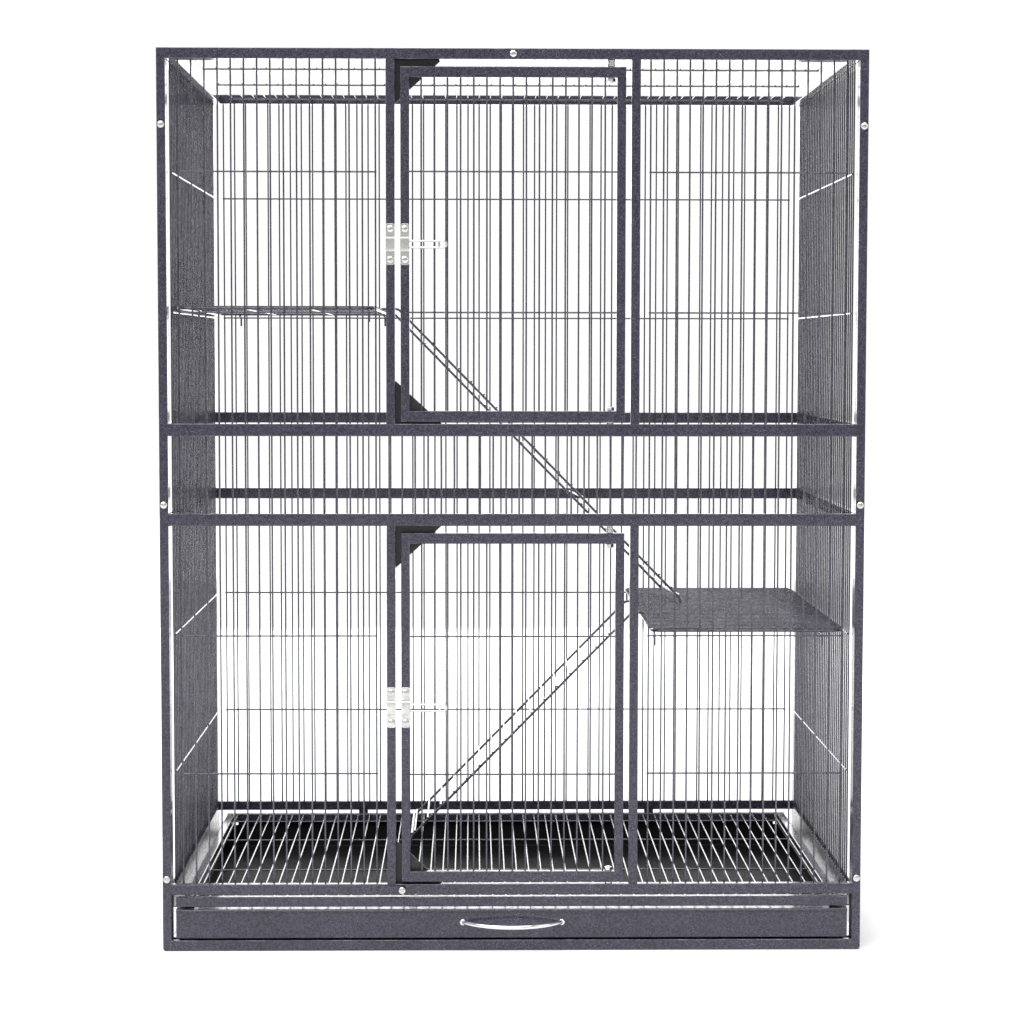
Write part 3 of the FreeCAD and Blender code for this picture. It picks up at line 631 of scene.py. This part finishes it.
def wire_panel(node, plane, stations, span, d, levels, cross_d, cross_span=None, rails=()):
    """Wires along v welded to wires along u, and welded to the frame's rails at the given heights."""
    shape = Shape()
    lean = plane(1, 0, 0)
    through = plane(0, 0, 1)
    for u in stations:
        bow = lean * random.uniform(-WIRE_BOW, WIRE_BOW)
        rod(shape, plane(u, span[0], d), plane(u, span[1], d), WIRE_R, bow=bow)
    u0, u1 = cross_span or (min(stations) - WIRE_END, max(stations) + WIRE_END)
    for v in levels:
        rod(shape, plane(u0, v, cross_d), plane(u1, v, cross_d), WIRE_R)
    to_frame = math.copysign(WIRE_R * 0.7, d - cross_d)
    for u in stations:
        for v in levels:
            nugget(shape, plane(u, v, (d + cross_d) / 2), through)
        for v in rails:
            nugget(shape, plane(u, v, d + to_frame), through)
    finished(shape, node)


def make_panel_meshes():
    span = (MESH_BOTTOM_Z, TOP_RAIL_Z)
    rails = (BASE_RAIL_Z + RAIL * 0.75, LOWER_MID_Z + MID_RAIL / 2, UPPER_MID_Z + MID_RAIL / 2)
    d = front + TUBE + WIRE_R
    for side, node in ((-1, "front_left_mesh"), (1, "front_right_mesh")):
        stations = [side * (OPENING_HALF + TUBE + STRIP_START + PITCH * k) for k in range(16)]
        wire_panel(node, upright, stations, span, d, WIRE_LEVELS, d + CROSS_OFFSET, rails=rails)
    low, high = LOWER_MID_Z + MIDDLE_MESH_LAP, UPPER_MID_Z + MIDDLE_MESH_LAP
    levels = (low + MIDDLE_CROSS_INSET, high - MIDDLE_CROSS_INSET)
    wire_panel("front_middle_mesh", upright, half_grid(10), (low, high), d, levels, d + CROSS_OFFSET)
    d = back - TUBE - WIRE_R
    wire_panel("back_mesh", upright, half_grid(26), span, d, WIRE_LEVELS, d - CROSS_OFFSET, rails=rails)
    along = [mid_y + u for u in half_grid(16)]
    for side, node in ((-1, "left_side_mesh"), (1, "right_side_mesh")):
        d = side * (inner_x - WIRE_R)
        wire_panel(node, sideways, along, span, d, WIRE_LEVELS, d - side * CROSS_OFFSET, rails=rails)
    d = TOP_RAIL_Z + RAIL / 2
    levels = [front + offset for offset in TOP_CROSS_OFFSETS]
    span = (front + 2 * TUBE, back - 2 * TUBE)
    wire_panel("top_mesh", level, half_grid(25), span, d, levels, d - CROSS_OFFSET)


# ---- screws and nuts -----------------------------------------------------------------------------
def screw_head_template():
    """A domed pan head with a cross recess, standing on the origin along +Z: its points and faces."""
    head = Shape()
    dome = [(0.0, 1.0), (0.42, 1.0), (0.66, 0.93), (0.86, 0.74), (0.97, 0.46), (1.0, 0.2)]
    lathe(head, Vector(), Z, [(a * SCREW_HEAD_HEIGHT, r * SCREW_HEAD_R) for a, r in dome], sides=40)
    slots = Shape()
    reach, half, depth = SCREW_HEAD_R * 0.58, SCREW_HEAD_R * 0.11, SCREW_HEAD_HEIGHT * 0.45
    for a, b in ((reach, half), (half, reach)):
        top = [Vector((u * a, v * b, SCREW_HEAD_HEIGHT * 1.2))
               for u, v in ((-1, -1), (1, -1), (1, 1), (-1, 1))]
        bottom = [Vector((p.x * 0.55, p.y * 0.55, SCREW_HEAD_HEIGHT - depth)) for p in top]
        slots.loft([bottom, top])
    made = []
    for shape in (head, slots):
        mesh = bpy.data.meshes.new("template")
        mesh.from_pydata([tuple(point) for point in shape.points], [], shape.faces)
        work = bmesh.new()
        work.from_mesh(mesh)
        bmesh.ops.recalc_face_normals(work, faces=work.faces)
        work.to_mesh(mesh)
        work.free()
        made.append(bpy.data.objects.new("template", mesh))
        bpy.context.scene.collection.objects.link(made[-1])
    cut = made[0].modifiers.new("recess", "BOOLEAN")
    cut.object = made[1]
    cut.operation = "DIFFERENCE"
    cut.solver = "EXACT"
    cut.use_self = True
    bpy.context.view_layer.update()
    result = made[0].evaluated_get(bpy.context.evaluated_depsgraph_get()).to_mesh()
    points = [vertex.co.copy() for vertex in result.vertices]
    faces = [list(polygon.vertices) for polygon in result.polygons]
    made[0].to_mesh_clear()
    for item in made:
        bpy.data.objects.remove(item)
    return points, faces


def screw(shape, point, outward):
    """A screw head on a surface, turned at random about its axis."""
    about_axis = Matrix.Rotation(random.uniform(0, math.pi / 2), 3, "Z")
    turn = Z.rotation_difference(outward).to_matrix() @ about_axis
    points, faces = screw_head
    shape.add([point + turn @ corner for corner in points], faces)


def washer(shape, base, axis, thickness, outer, inner):
    edge = thickness * 0.2
    lathe(shape, base, axis, [(0, inner), (0, outer - edge), (edge, outer), (thickness - edge, outer),
                              (thickness, outer - edge), (thickness, inner)], closed=True)


def nut(shape, base, axis, flats, tall):
    """A chamfered hexagon nut, with the end of its screw standing a little out of it."""
    radius = flats / math.sqrt(3)
    chamfer = tall * 0.14
    profile = [(0, radius * 0.9), (chamfer, radius), (tall - chamfer, radius), (tall, radius * 0.9)]
    lathe(shape, base, axis, profile, sides=6)
    end = PIVOT_R * 0.9
    lathe(shape, base + axis * tall, axis, [(-0.0004, end), (0.0005, end), (0.0008, end * 0.8)], sides=24)


def panel_screw_places():
    for face_y, outward in ((front, -Y), (back, Y)):
        for side in (-1, 1):
            for z in PANEL_SCREW_LEVELS:
                yield Vector((side * (half_width - TUBE / 2), face_y, z)), outward
        yield Vector((0, face_y, TOP_RAIL_Z + RAIL / 2)), outward


def make_panel_screws():
    shape = Shape()
    for point, outward in panel_screw_places():
        screw(shape, point, outward)
        rod(shape, point - outward * PANEL_SCREW_LENGTH, point, SCREW_SHANK_R)
    finished(shape, "panel_screws", crease=30)


# ---- doors ---------------------------------------------------------------------------------------
def make_door(which):
    low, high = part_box(which + "_door_frame")
    shape = Shape()
    mitred_frame(shape, upright, low.x, high.x, low.z, high.z, low.y, high.y)
    finished(shape, which + "_door_frame", weld_points=SAME_POINT)

    stations = [PITCH * k for k in range(-7, 8)]
    levels = [z for z in WIRE_LEVELS if low.z < z < high.z]
    d = front + TUBE / 2
    inner = high.x - TUBE
    wire_panel(which + "_door_mesh", upright, stations, (low.z + RAIL, high.z - RAIL), d, levels,
               d + CROSS_OFFSET, cross_span=(-inner, inner))


def make_pivots(which):
    """The screws the door turns on: a nut inside the door and a stack of washers at each end."""
    door_low, door_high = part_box(which + "_door_frame")
    pin_low, pin_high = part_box(which + "_door_pivots")
    at = Vector((PIVOT_X, front + TUBE / 2, 0))
    pins, spacers = Shape(), Shape()
    for edge, outward, pin_end in ((door_low.z, -1, pin_low.z), (door_high.z, 1, pin_high.z)):
        inside = edge - outward * (RAIL + TURNING_GAP)
        rod(pins, at + Z * inside, at + Z * pin_end, PIVOT_R, sides=24)
        nut(pins, at + Z * inside, Z * -outward, NUT_FLATS, NUT_HEIGHT)
        frame_face = pin_end - outward * 0.0012
        start = edge + outward * TURNING_GAP
        reach = abs(frame_face - start)
        count = max(1, round(reach / 0.0022))
        for k in range(count):
            washer(spacers, at + Z * (start + outward * reach * k / count), Z * outward,
                   reach / count, 0.0042 - 0.0004 * (k % 2), PIVOT_R + 0.0001)
    finished(pins, which + "_door_pivots", crease=30)
    finished(spacers, which + "_door_spacers", crease=30)


def make_stops(which):
    """Two triangular plates behind the latch-side corners, with softly rounded points."""
    low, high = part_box(which + "_door_stops")
    left, toe = low.x, -OPENING_HALF + STOP_LEG_X
    shape = Shape()
    for edge_z, inward in ((low.z, 1), (high.z, -1)):
        lap = 0.0 if edge_z > TOP_RAIL_Z - STOP_OVERLAP / 2 else STOP_OVERLAP
        corner_z = edge_z + inward * lap
        tip_z = corner_z + inward * STOP_LEG_Z
        corners = [(toe, corner_z), (-OPENING_HALF, tip_z), (left, tip_z)]
        corners += [(left, edge_z), (toe, edge_z)] if lap else [(left, corner_z)]
        path = bent([Vector((u, v, 0)) for u, v in corners], [0.0012] * len(corners), closed=True, steps=4)
        extruded(shape, [(point.x, point.y) for point in path], upright, front + TUBE,
                 front + TUBE + STOP_THICKNESS)
    finished(shape, which + "_door_stops", bevel=0.0003)


# ---- latches -------------------------------------------------------------------------------------
def latch_plate(x0, x1, z, node):
    """A pressed plate with a raised strap that the link slides under."""
    shape = Shape()
    face = front - LATCH_PLATE_THICKNESS
    half = LATCH_PLATE_HEIGHT / 2
    plate = rounded_rectangle(x0, x1, z - half, z + half, LATCH_CORNER_R)
    extruded(shape, plate, upright, face, front)
    inner, t = LATCH_STRAP_HALF, LATCH_PLATE_THICKNESS
    reach = LATCH_STRAP_LIFT
    outer_top = face - reach - t
    bend = 0.0018
    foot = face + LATCH_STRAP_SINK
    outer = [(z - inner - t, foot)]
    outer += arc_points((z - inner - t + bend, outer_top + bend), bend, 180, 270)
    outer += arc_points((z + inner + t - bend, outer_top + bend), bend, 270, 360)
    outer += [(z + inner + t, foot), (z + inner, foot)]
    small = 0.0005
    outer += arc_points((z + inner - small, face - reach + small), small, 0, -90, 3)
    outer += arc_points((z - inner + small, face - reach + small), small, 270, 180, 3)
    outer += [(z - inner, foot)]
    extruded(shape, outer, lambda v, d, u: Vector((u, d, v)), x0, x1)
    finished(shape, node, bevel=0.00025, crease=32)


def make_latch(which):
    z = LATCH_LEVELS[which]
    face = front - LATCH_PLATE_THICKNESS
    for plate, screws in (("_latch_keeper", "_keeper_screws"), ("_latch_plate", "_latch_screws")):
        low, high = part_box(which + plate)
        latch_plate(low.x, high.x, z, which + plate)
        shape = Shape()
        for offset in (-LATCH_SCREW_OFFSET, LATCH_SCREW_OFFSET):
            point = Vector(((low.x + high.x) / 2, face, z + offset))
            screw(shape, point, -Y)
            rod(shape, point, point + Y * LATCH_SCREW_LENGTH, SCREW_SHANK_R)
        finished(shape, which + screws, crease=30)

    low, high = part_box(which + "_latch_link")
    y = (low.y + high.y) / 2
    left, right = low.x + LINK_R, high.x - LINK_R
    tall = (high.z - low.z) / 2 - LINK_R
    corners = [Vector((left, y, z - tall)), Vector((right, y, z - tall)),
               Vector((right, y, z + tall)), Vector((left, y, z + tall))]
    shape = Shape()
    sweep(shape, bent(corners, [tall * 0.98] * 4, closed=True), LINK_R, Y, closed=True)
    grip_x = right + LINK_R - LINK_GRIP_INSET
    rod(shape, Vector((grip_x, y, z - tall)), Vector((grip_x, y, z + tall)), LINK_R)
    finished(shape, which + "_latch_link")


# ---- shelves and ladders -------------------------------------------------------------------------
def shelf_rim_z(which):
    return SHELF_LEVELS[which] + WIRE_R + SHELF_HOOK_R + SHELF_HOOK_SINK


def make_shelf(which):
    """A rim of thick wire with thin wires welded across it, on hooks that lie on the walls' wires."""
    z = shelf_rim_z(which)
    side = -1 if which == "upper" else 1
    x0, x1 = sorted((SHELF_INNER_X[which], side * SHELF_OUTER_X))
    y0, y1 = front + SHELF_MARGIN_Y, back - SHELF_MARGIN_Y
    shape = Shape()
    corners = [Vector((x0, y0, z)), Vector((x1, y0, z)), Vector((x1, y1, z)), Vector((x0, y1, z))]
    sweep(shape, bent(corners, [SHELF_CORNER] * 4, closed=True), SHELF_WIRE_R, Z, closed=True)
    crossing_z = z + SHELF_WIRE_R + WIRE_R - SHELF_WELD
    bearers = [x0 + (x1 - x0) * share for share in (1 / 3, 2 / 3)]
    for k in SHELF_ROWS:
        y = mid_y + PITCH * k
        into_corner = max(0.0, SHELF_CORNER - min(y - y0, y1 - y))
        inset = SHELF_CORNER - math.sqrt(SHELF_CORNER ** 2 - into_corner ** 2) - SHELF_WELD
        bow = Y * random.uniform(-WIRE_BOW, WIRE_BOW)
        rod(shape, Vector((x0 + inset, y, crossing_z)), Vector((x1 - inset, y, crossing_z)), WIRE_R, bow=bow)
        for x in (x0 + inset, *bearers, x1 - inset):
            nugget(shape, Vector((x, y, crossing_z - WIRE_R * 0.8)))
    for x in bearers:
        rod(shape, Vector((x, y0, z)), Vector((x, y1, z)), WIRE_R)
    hook_z = z - SHELF_HOOK_SINK
    for hook_x in SHELF_HOOKS:
        for face, inward in ((front, 1), (back, -1)):
            start = Vector((side * hook_x, face + inward * (SHELF_MARGIN_Y + SHELF_HOOK_START), hook_z))
            turn = Vector((side * hook_x, face + inward * TUBE, hook_z))
            path = bent([start, turn, turn - Z * SHELF_HOOK_DROP], [SHELF_HOOK_TURN_R])
            sweep(shape, path, SHELF_HOOK_R, X)
            nugget(shape, Vector((side * hook_x, face + inward * SHELF_MARGIN_Y, hook_z)),
                   radius=SHELF_HOOK_NUGGET_R)
    finished(shape, which + "_shelf")


def make_ladder(which, foot_z):
    """Two bent rails that hook over the shelf's rim, with rungs across them and a bar at the foot."""
    direction = 1 if which == "upper" else -1
    near_y = mid_y + PITCH * (LADDER_NEAR_STEP[which] + 0.5)
    skew = LADDER_SKEW[which]
    shape, slopes = Shape(), []
    for y, shift in ((near_y, skew / 2), (near_y + PITCH * LADDER_STEPS, -skew / 2)):
        rim = Vector((SHELF_INNER_X[which], y, shelf_rim_z(which)))
        behind = rim - X * direction * LADDER_HOOK_R
        slope_top = rim + Vector((direction * (LADDER_RUN + shift), 0, LADDER_HOOK_R))
        slope_foot = Vector((LADDER_FOOT_X[which] + direction * shift, y, foot_z + LADDER_FOOT[which]))
        toe = slope_foot + Vector((direction * LADDER_TOE[which], 0, -LADDER_FOOT[which]))
        points = [behind - Z * LADDER_HOOK_DROP, behind + Z * LADDER_HOOK_R, slope_top, slope_foot, toe]
        path = bent(points, [LADDER_HOOK_R, LADDER_BEND_R, LADDER_FOOT_BEND_R[which]])
        sweep(shape, path, LADDER_R, Y)
        slopes.append((slope_top, slope_foot))
    top, foot = slopes[0]
    fall = foot - top
    normal = Vector((-direction * fall.z, 0, direction * fall.x)).normalized()
    lift = normal * (LADDER_R + RUNG_R - RUNG_WELD)
    for k in range(int(fall.length / RUNG_PITCH)):
        near, far = [start + (end - start).normalized() * (RUNG_PITCH * (k + FIRST_RUNG)) + lift
                     for start, end in slopes]
        over = (far - near).normalized() * (LADDER_R + RUNG_OVERHANG)
        bow = fall.normalized() * random.uniform(-RUNG_BOW, RUNG_BOW)
        rod(shape, near - over, far + over, RUNG_R, bow=bow)
        for end in (near, far):
            nugget(shape, end - lift * 0.45, normal)
    foot_bar = Z * LADDER_FOOT_BAR_LIFT
    rod(shape, slopes[0][1] + foot_bar, slopes[1][1] + foot_bar, LADDER_R)
    finished(shape, which + "_ladder")


# ---- floor grate and litter tray -----------------------------------------------------------------
def make_grate():
    low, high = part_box("grate_frame")
    inner = high.x - GRATE_SIDE_LUG
    shape = Shape()
    tube(shape, level, low.x + BUTT, high.x - BUTT, low.y, low.y + TUBE, low.z, high.z)
    tube(shape, level, -inner + BUTT, inner - BUTT, high.y - TUBE, high.y, low.z, high.z)
    for side in (-1, 1):
        v0, v1 = sorted((side * inner, side * (inner - TUBE)))
        tube(shape, turned(level), low.y + TUBE, high.y - TUBE, v0, v1, low.z, high.z)
    finished(shape, "grate_frame", weld_points=SAME_POINT)

    d = high.z - WIRE_R - GRATE_WIRE_SINK
    levels = [front + offset for offset in GRATE_CROSS_OFFSETS]
    reach = inner - TUBE
    wire_panel("grate_mesh", level, half_grid(25), (low.y + TUBE, high.y - TUBE), d, levels,
               d - CROSS_OFFSET, cross_span=(-reach, reach))


def make_tray_front():
    """Folded sheet with a rolled top edge, a flange behind it and a foot below."""
    low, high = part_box("tray_front")
    face = low.y + TRAY_LIP_R
    top, bottom = high.z, low.z
    fold = 0.0013
    outline = [(face + TRAY_FOOT, bottom)]
    outline += arc_points((face + fold, bottom + fold), fold, 270, 180)
    outline += arc_points((face, top - TRAY_LIP_R), TRAY_LIP_R, -90, -270, 14)
    outline += [(face + TRAY_FLANGE, top), (face + TRAY_FLANGE, top - TRAY_SHEET),
                (face + TRAY_SHEET, top - TRAY_SHEET), (face + TRAY_SHEET, bottom + TRAY_SHEET),
                (face + TRAY_FOOT, bottom + TRAY_SHEET)]
    shape = Shape()
    extruded(shape, outline, lambda y, z, x: Vector((x, y, z)), low.x, high.x)
    finished(shape, "tray_front", crease=32, weld_points=SAME_POINT)


def make_tray_pan():
    """A moulded black pan with a softened rim and a higher stretch of back wall."""
    low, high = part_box("tray_pan")
    rim_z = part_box("tray_front")[1].z - PAN_DROP

    def loop(inset, z):
        radius = max(PAN_CORNER_R - inset, PAN_CORNER_R / 2)
        outline = rounded_rectangle(low.x + inset, high.x - inset, low.y + inset, high.y - inset, radius)
        return [Vector((u, v, z)) for u, v in outline]

    lip = 0.0004
    floor_z = low.z + PAN_WALL
    shape = Shape()
    shape.loft([loop(0.001, low.z), loop(0.0, low.z + 0.0008), loop(0.0, rim_z - lip), loop(lip, rim_z),
                loop(PAN_WALL - lip, rim_z), loop(PAN_WALL, rim_z - lip), loop(PAN_WALL, floor_z + 0.0025),
                loop(PAN_WALL + 0.0008, floor_z + 0.0008), loop(PAN_WALL + 0.0025, floor_z)])
    raised = rounded_rectangle(-PAN_BACK_HALF, PAN_BACK_HALF, rim_z - 0.006, high.z, 0.002)
    extruded(shape, raised, upright, high.y - PAN_WALL + 0.0001, high.y - 0.0001)
    finished(shape, "tray_pan", crease=50)


def make_tray_handle():
    """A chromed bow with a collar at each foot."""
    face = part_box("tray_front")[0].y + TRAY_LIP_R
    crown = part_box("tray_handle")[0].y + TRAY_HANDLE_R
    sag = face - crown
    radius = (TRAY_HANDLE_HALF ** 2 + sag ** 2) / (2 * sag)
    centre = Vector((0, crown + radius, TRAY_HANDLE_Z))
    half = math.asin(TRAY_HANDLE_HALF / radius)
    steps = 40
    path = []
    for k in range(steps + 1):
        a = -half + 2 * half * k / steps
        path.append(centre + Vector((math.sin(a), -math.cos(a), 0)) * radius)
    shape, nuts = Shape(), Shape()
    sweep(shape, path, TRAY_HANDLE_R, Z, sides=20)
    for side in (-1, 1):
        foot = Vector((side * TRAY_HANDLE_HALF, face, TRAY_HANDLE_Z))
        lathe(shape, foot, -Y, [(0, 0.0034), (0.0006, 0.0034), (0.001, 0.003)], sides=32)
        rod(shape, foot - Y * 0.0005, foot + Y * 0.0055, SCREW_SHANK_R)
        profile = [(0, 0.0033), (0.0003, HANDLE_NUT_R), (0.0021, HANDLE_NUT_R), (0.0024, 0.0033)]
        lathe(nuts, foot + Y * TRAY_SHEET, Y, profile, sides=6)
    finished(shape, "tray_handle")
    finished(nuts, "handle_nuts", crease=30)


def make_lock_tab():
    """A stamped swivel tab on its shouldered screw."""
    low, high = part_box("lock_tab")
    half = (high.z - low.z) / 2
    z = (low.z + high.z) / 2
    shape = Shape()
    outline = arc_points((high.x - half, z), half, -90, 90, 10)
    outline += arc_points((low.x + half, z), half, 90, 270, 10)
    extruded(shape, outline, upright, low.y, high.y)
    finished(shape, "lock_tab", bevel=0.0003)

    pivot = Vector((high.x - half, low.y, z))
    shape = Shape()
    under_head = pivot - Y * TURNING_GAP
    screw(shape, under_head, -Y)
    rod(shape, under_head, Vector((pivot.x, front + 0.0012, z)), 0.002)
    washer(shape, Vector((pivot.x, high.y + TURNING_GAP, z)), Y, front - high.y - TURNING_GAP, 0.0034,
           SCREW_SHANK_R)
    finished(shape, "lock_tab_screw", crease=30)


# ---- build ---------------------------------------------------------------------------------------
screw_head = screw_head_template()
make_front_frame()
make_back_frame()
make_side_frame("left_side_frame")
make_side_frame("right_side_frame")
make_top_frame()
make_panel_meshes()
make_panel_screws()
for name in ("upper", "lower"):
    make_door(name)
    make_pivots(name)
    make_stops(name)
    make_latch(name)
    make_shelf(name)
make_ladder("upper", shelf_rim_z("lower") + 0.0042)
make_ladder("lower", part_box("grate_frame")[1].z + 0.0006)
make_grate()
make_tray_front()
make_tray_pan()
make_tray_handle()
make_lock_tab()

for node in ("threaded_inserts", "tray_runners", "grate_runners", "rear_stops"):
    for holder in frame["nodes"][node].material_slots:
        holder.material = materials[slot_of[node]]


# ---- studio --------------------------------------------------------------------------------------
def make_floor(size=14.0):
    mesh = bpy.data.meshes.new("studio_floor")
    half = size / 2
    corners = [(-half, -half, 0), (half, -half, 0), (half, half, 0), (-half, half, 0)]
    mesh.from_pydata(corners, [], [(0, 1, 2, 3)])
    floor = bpy.data.objects.new("studio_floor", mesh)
    floor.location.z = -0.0002
    mesh.materials.append(floor_paint())
    bpy.context.scene.collection.objects.link(floor)


def soft_light(name, place, target, size, power):
    data = bpy.data.lights.new(name, "AREA")
    data.shape = "RECTANGLE"
    data.size, data.size_y = size
    data.energy = power
    lamp = bpy.data.objects.new(name, data)
    lamp.location = place
    lamp.rotation_euler = (Vector(target) - Vector(place)).to_track_quat("-Z", "Y").to_euler()
    lamp.visible_camera = False
    bpy.context.scene.collection.objects.link(lamp)


def make_camera():
    """The eye is a little left of the cage's middle, above half its height, and looks slightly down."""
    data = bpy.data.cameras.new("camera")
    data.sensor_width = 36.0
    data.lens = 85.7
    camera = bpy.data.objects.new("camera", data)
    yaw, pitch, roll = (math.radians(angle) for angle in (-0.935, -3.80, -0.07))
    turn = (Matrix.Rotation(yaw, 4, "Z") @ Matrix.Rotation(pitch, 4, "X") @ Matrix.Rotation(roll, 4, "Y")
            @ Matrix.Rotation(math.radians(90), 4, "X"))
    camera.matrix_world = Matrix.Translation(Vector((-0.0454, -2.9713, 0.6788))) @ turn
    bpy.context.scene.collection.objects.link(camera)
    bpy.context.scene.camera = camera


def make_world():
    """White paper all round, which lights the cage with less than the white that shows behind it."""
    world = bpy.data.worlds.new("studio")
    world.use_nodes = True
    nodes, links = world.node_tree.nodes, world.node_tree.links
    seen = nodes["Background"]
    seen.inputs["Color"].default_value = (1.0, 1.0, 1.0, 1.0)
    seen.inputs["Strength"].default_value = 1.05
    lit = nodes.new("ShaderNodeBackground")
    lit.inputs["Color"].default_value = (1.0, 1.0, 1.0, 1.0)
    lit.inputs["Strength"].default_value = 0.5
    either = nodes.new("ShaderNodeMixShader")
    links.new(nodes.new("ShaderNodeLightPath").outputs["Is Camera Ray"], either.inputs["Fac"])
    links.new(lit.outputs["Background"], either.inputs[1])
    links.new(seen.outputs["Background"], either.inputs[2])
    links.new(either.outputs["Shader"], nodes["World Output"].inputs["Surface"])
    bpy.context.scene.world = world
    bpy.context.scene.view_settings.view_transform = "Standard"


def make_sky_light(turn, spread, power):
    """A very wide sun, so that the floor is as bright far off as it is near."""
    data = bpy.data.lights.new("sky", "SUN")
    data.angle = math.radians(spread)
    data.energy = power
    lamp = bpy.data.objects.new("sky", data)
    lamp.rotation_euler = [math.radians(angle) for angle in turn]
    bpy.context.scene.collection.objects.link(lamp)


make_floor()
make_world()
make_camera()
make_sky_light((28, 0, -25), 70, 3.2)
soft_light("key", (-2.2, -2.6, 3.0), (0, 0, 0.5), (1.8, 1.8), 28)
soft_light("fill", (2.6, -1.8, 2.0), (0, 0, 0.5), (1.6, 1.6), 12)
soft_light("backdrop", (0, 2.8, 1.1), (0, 0, 0.6), (4.4, 2.0), 80)
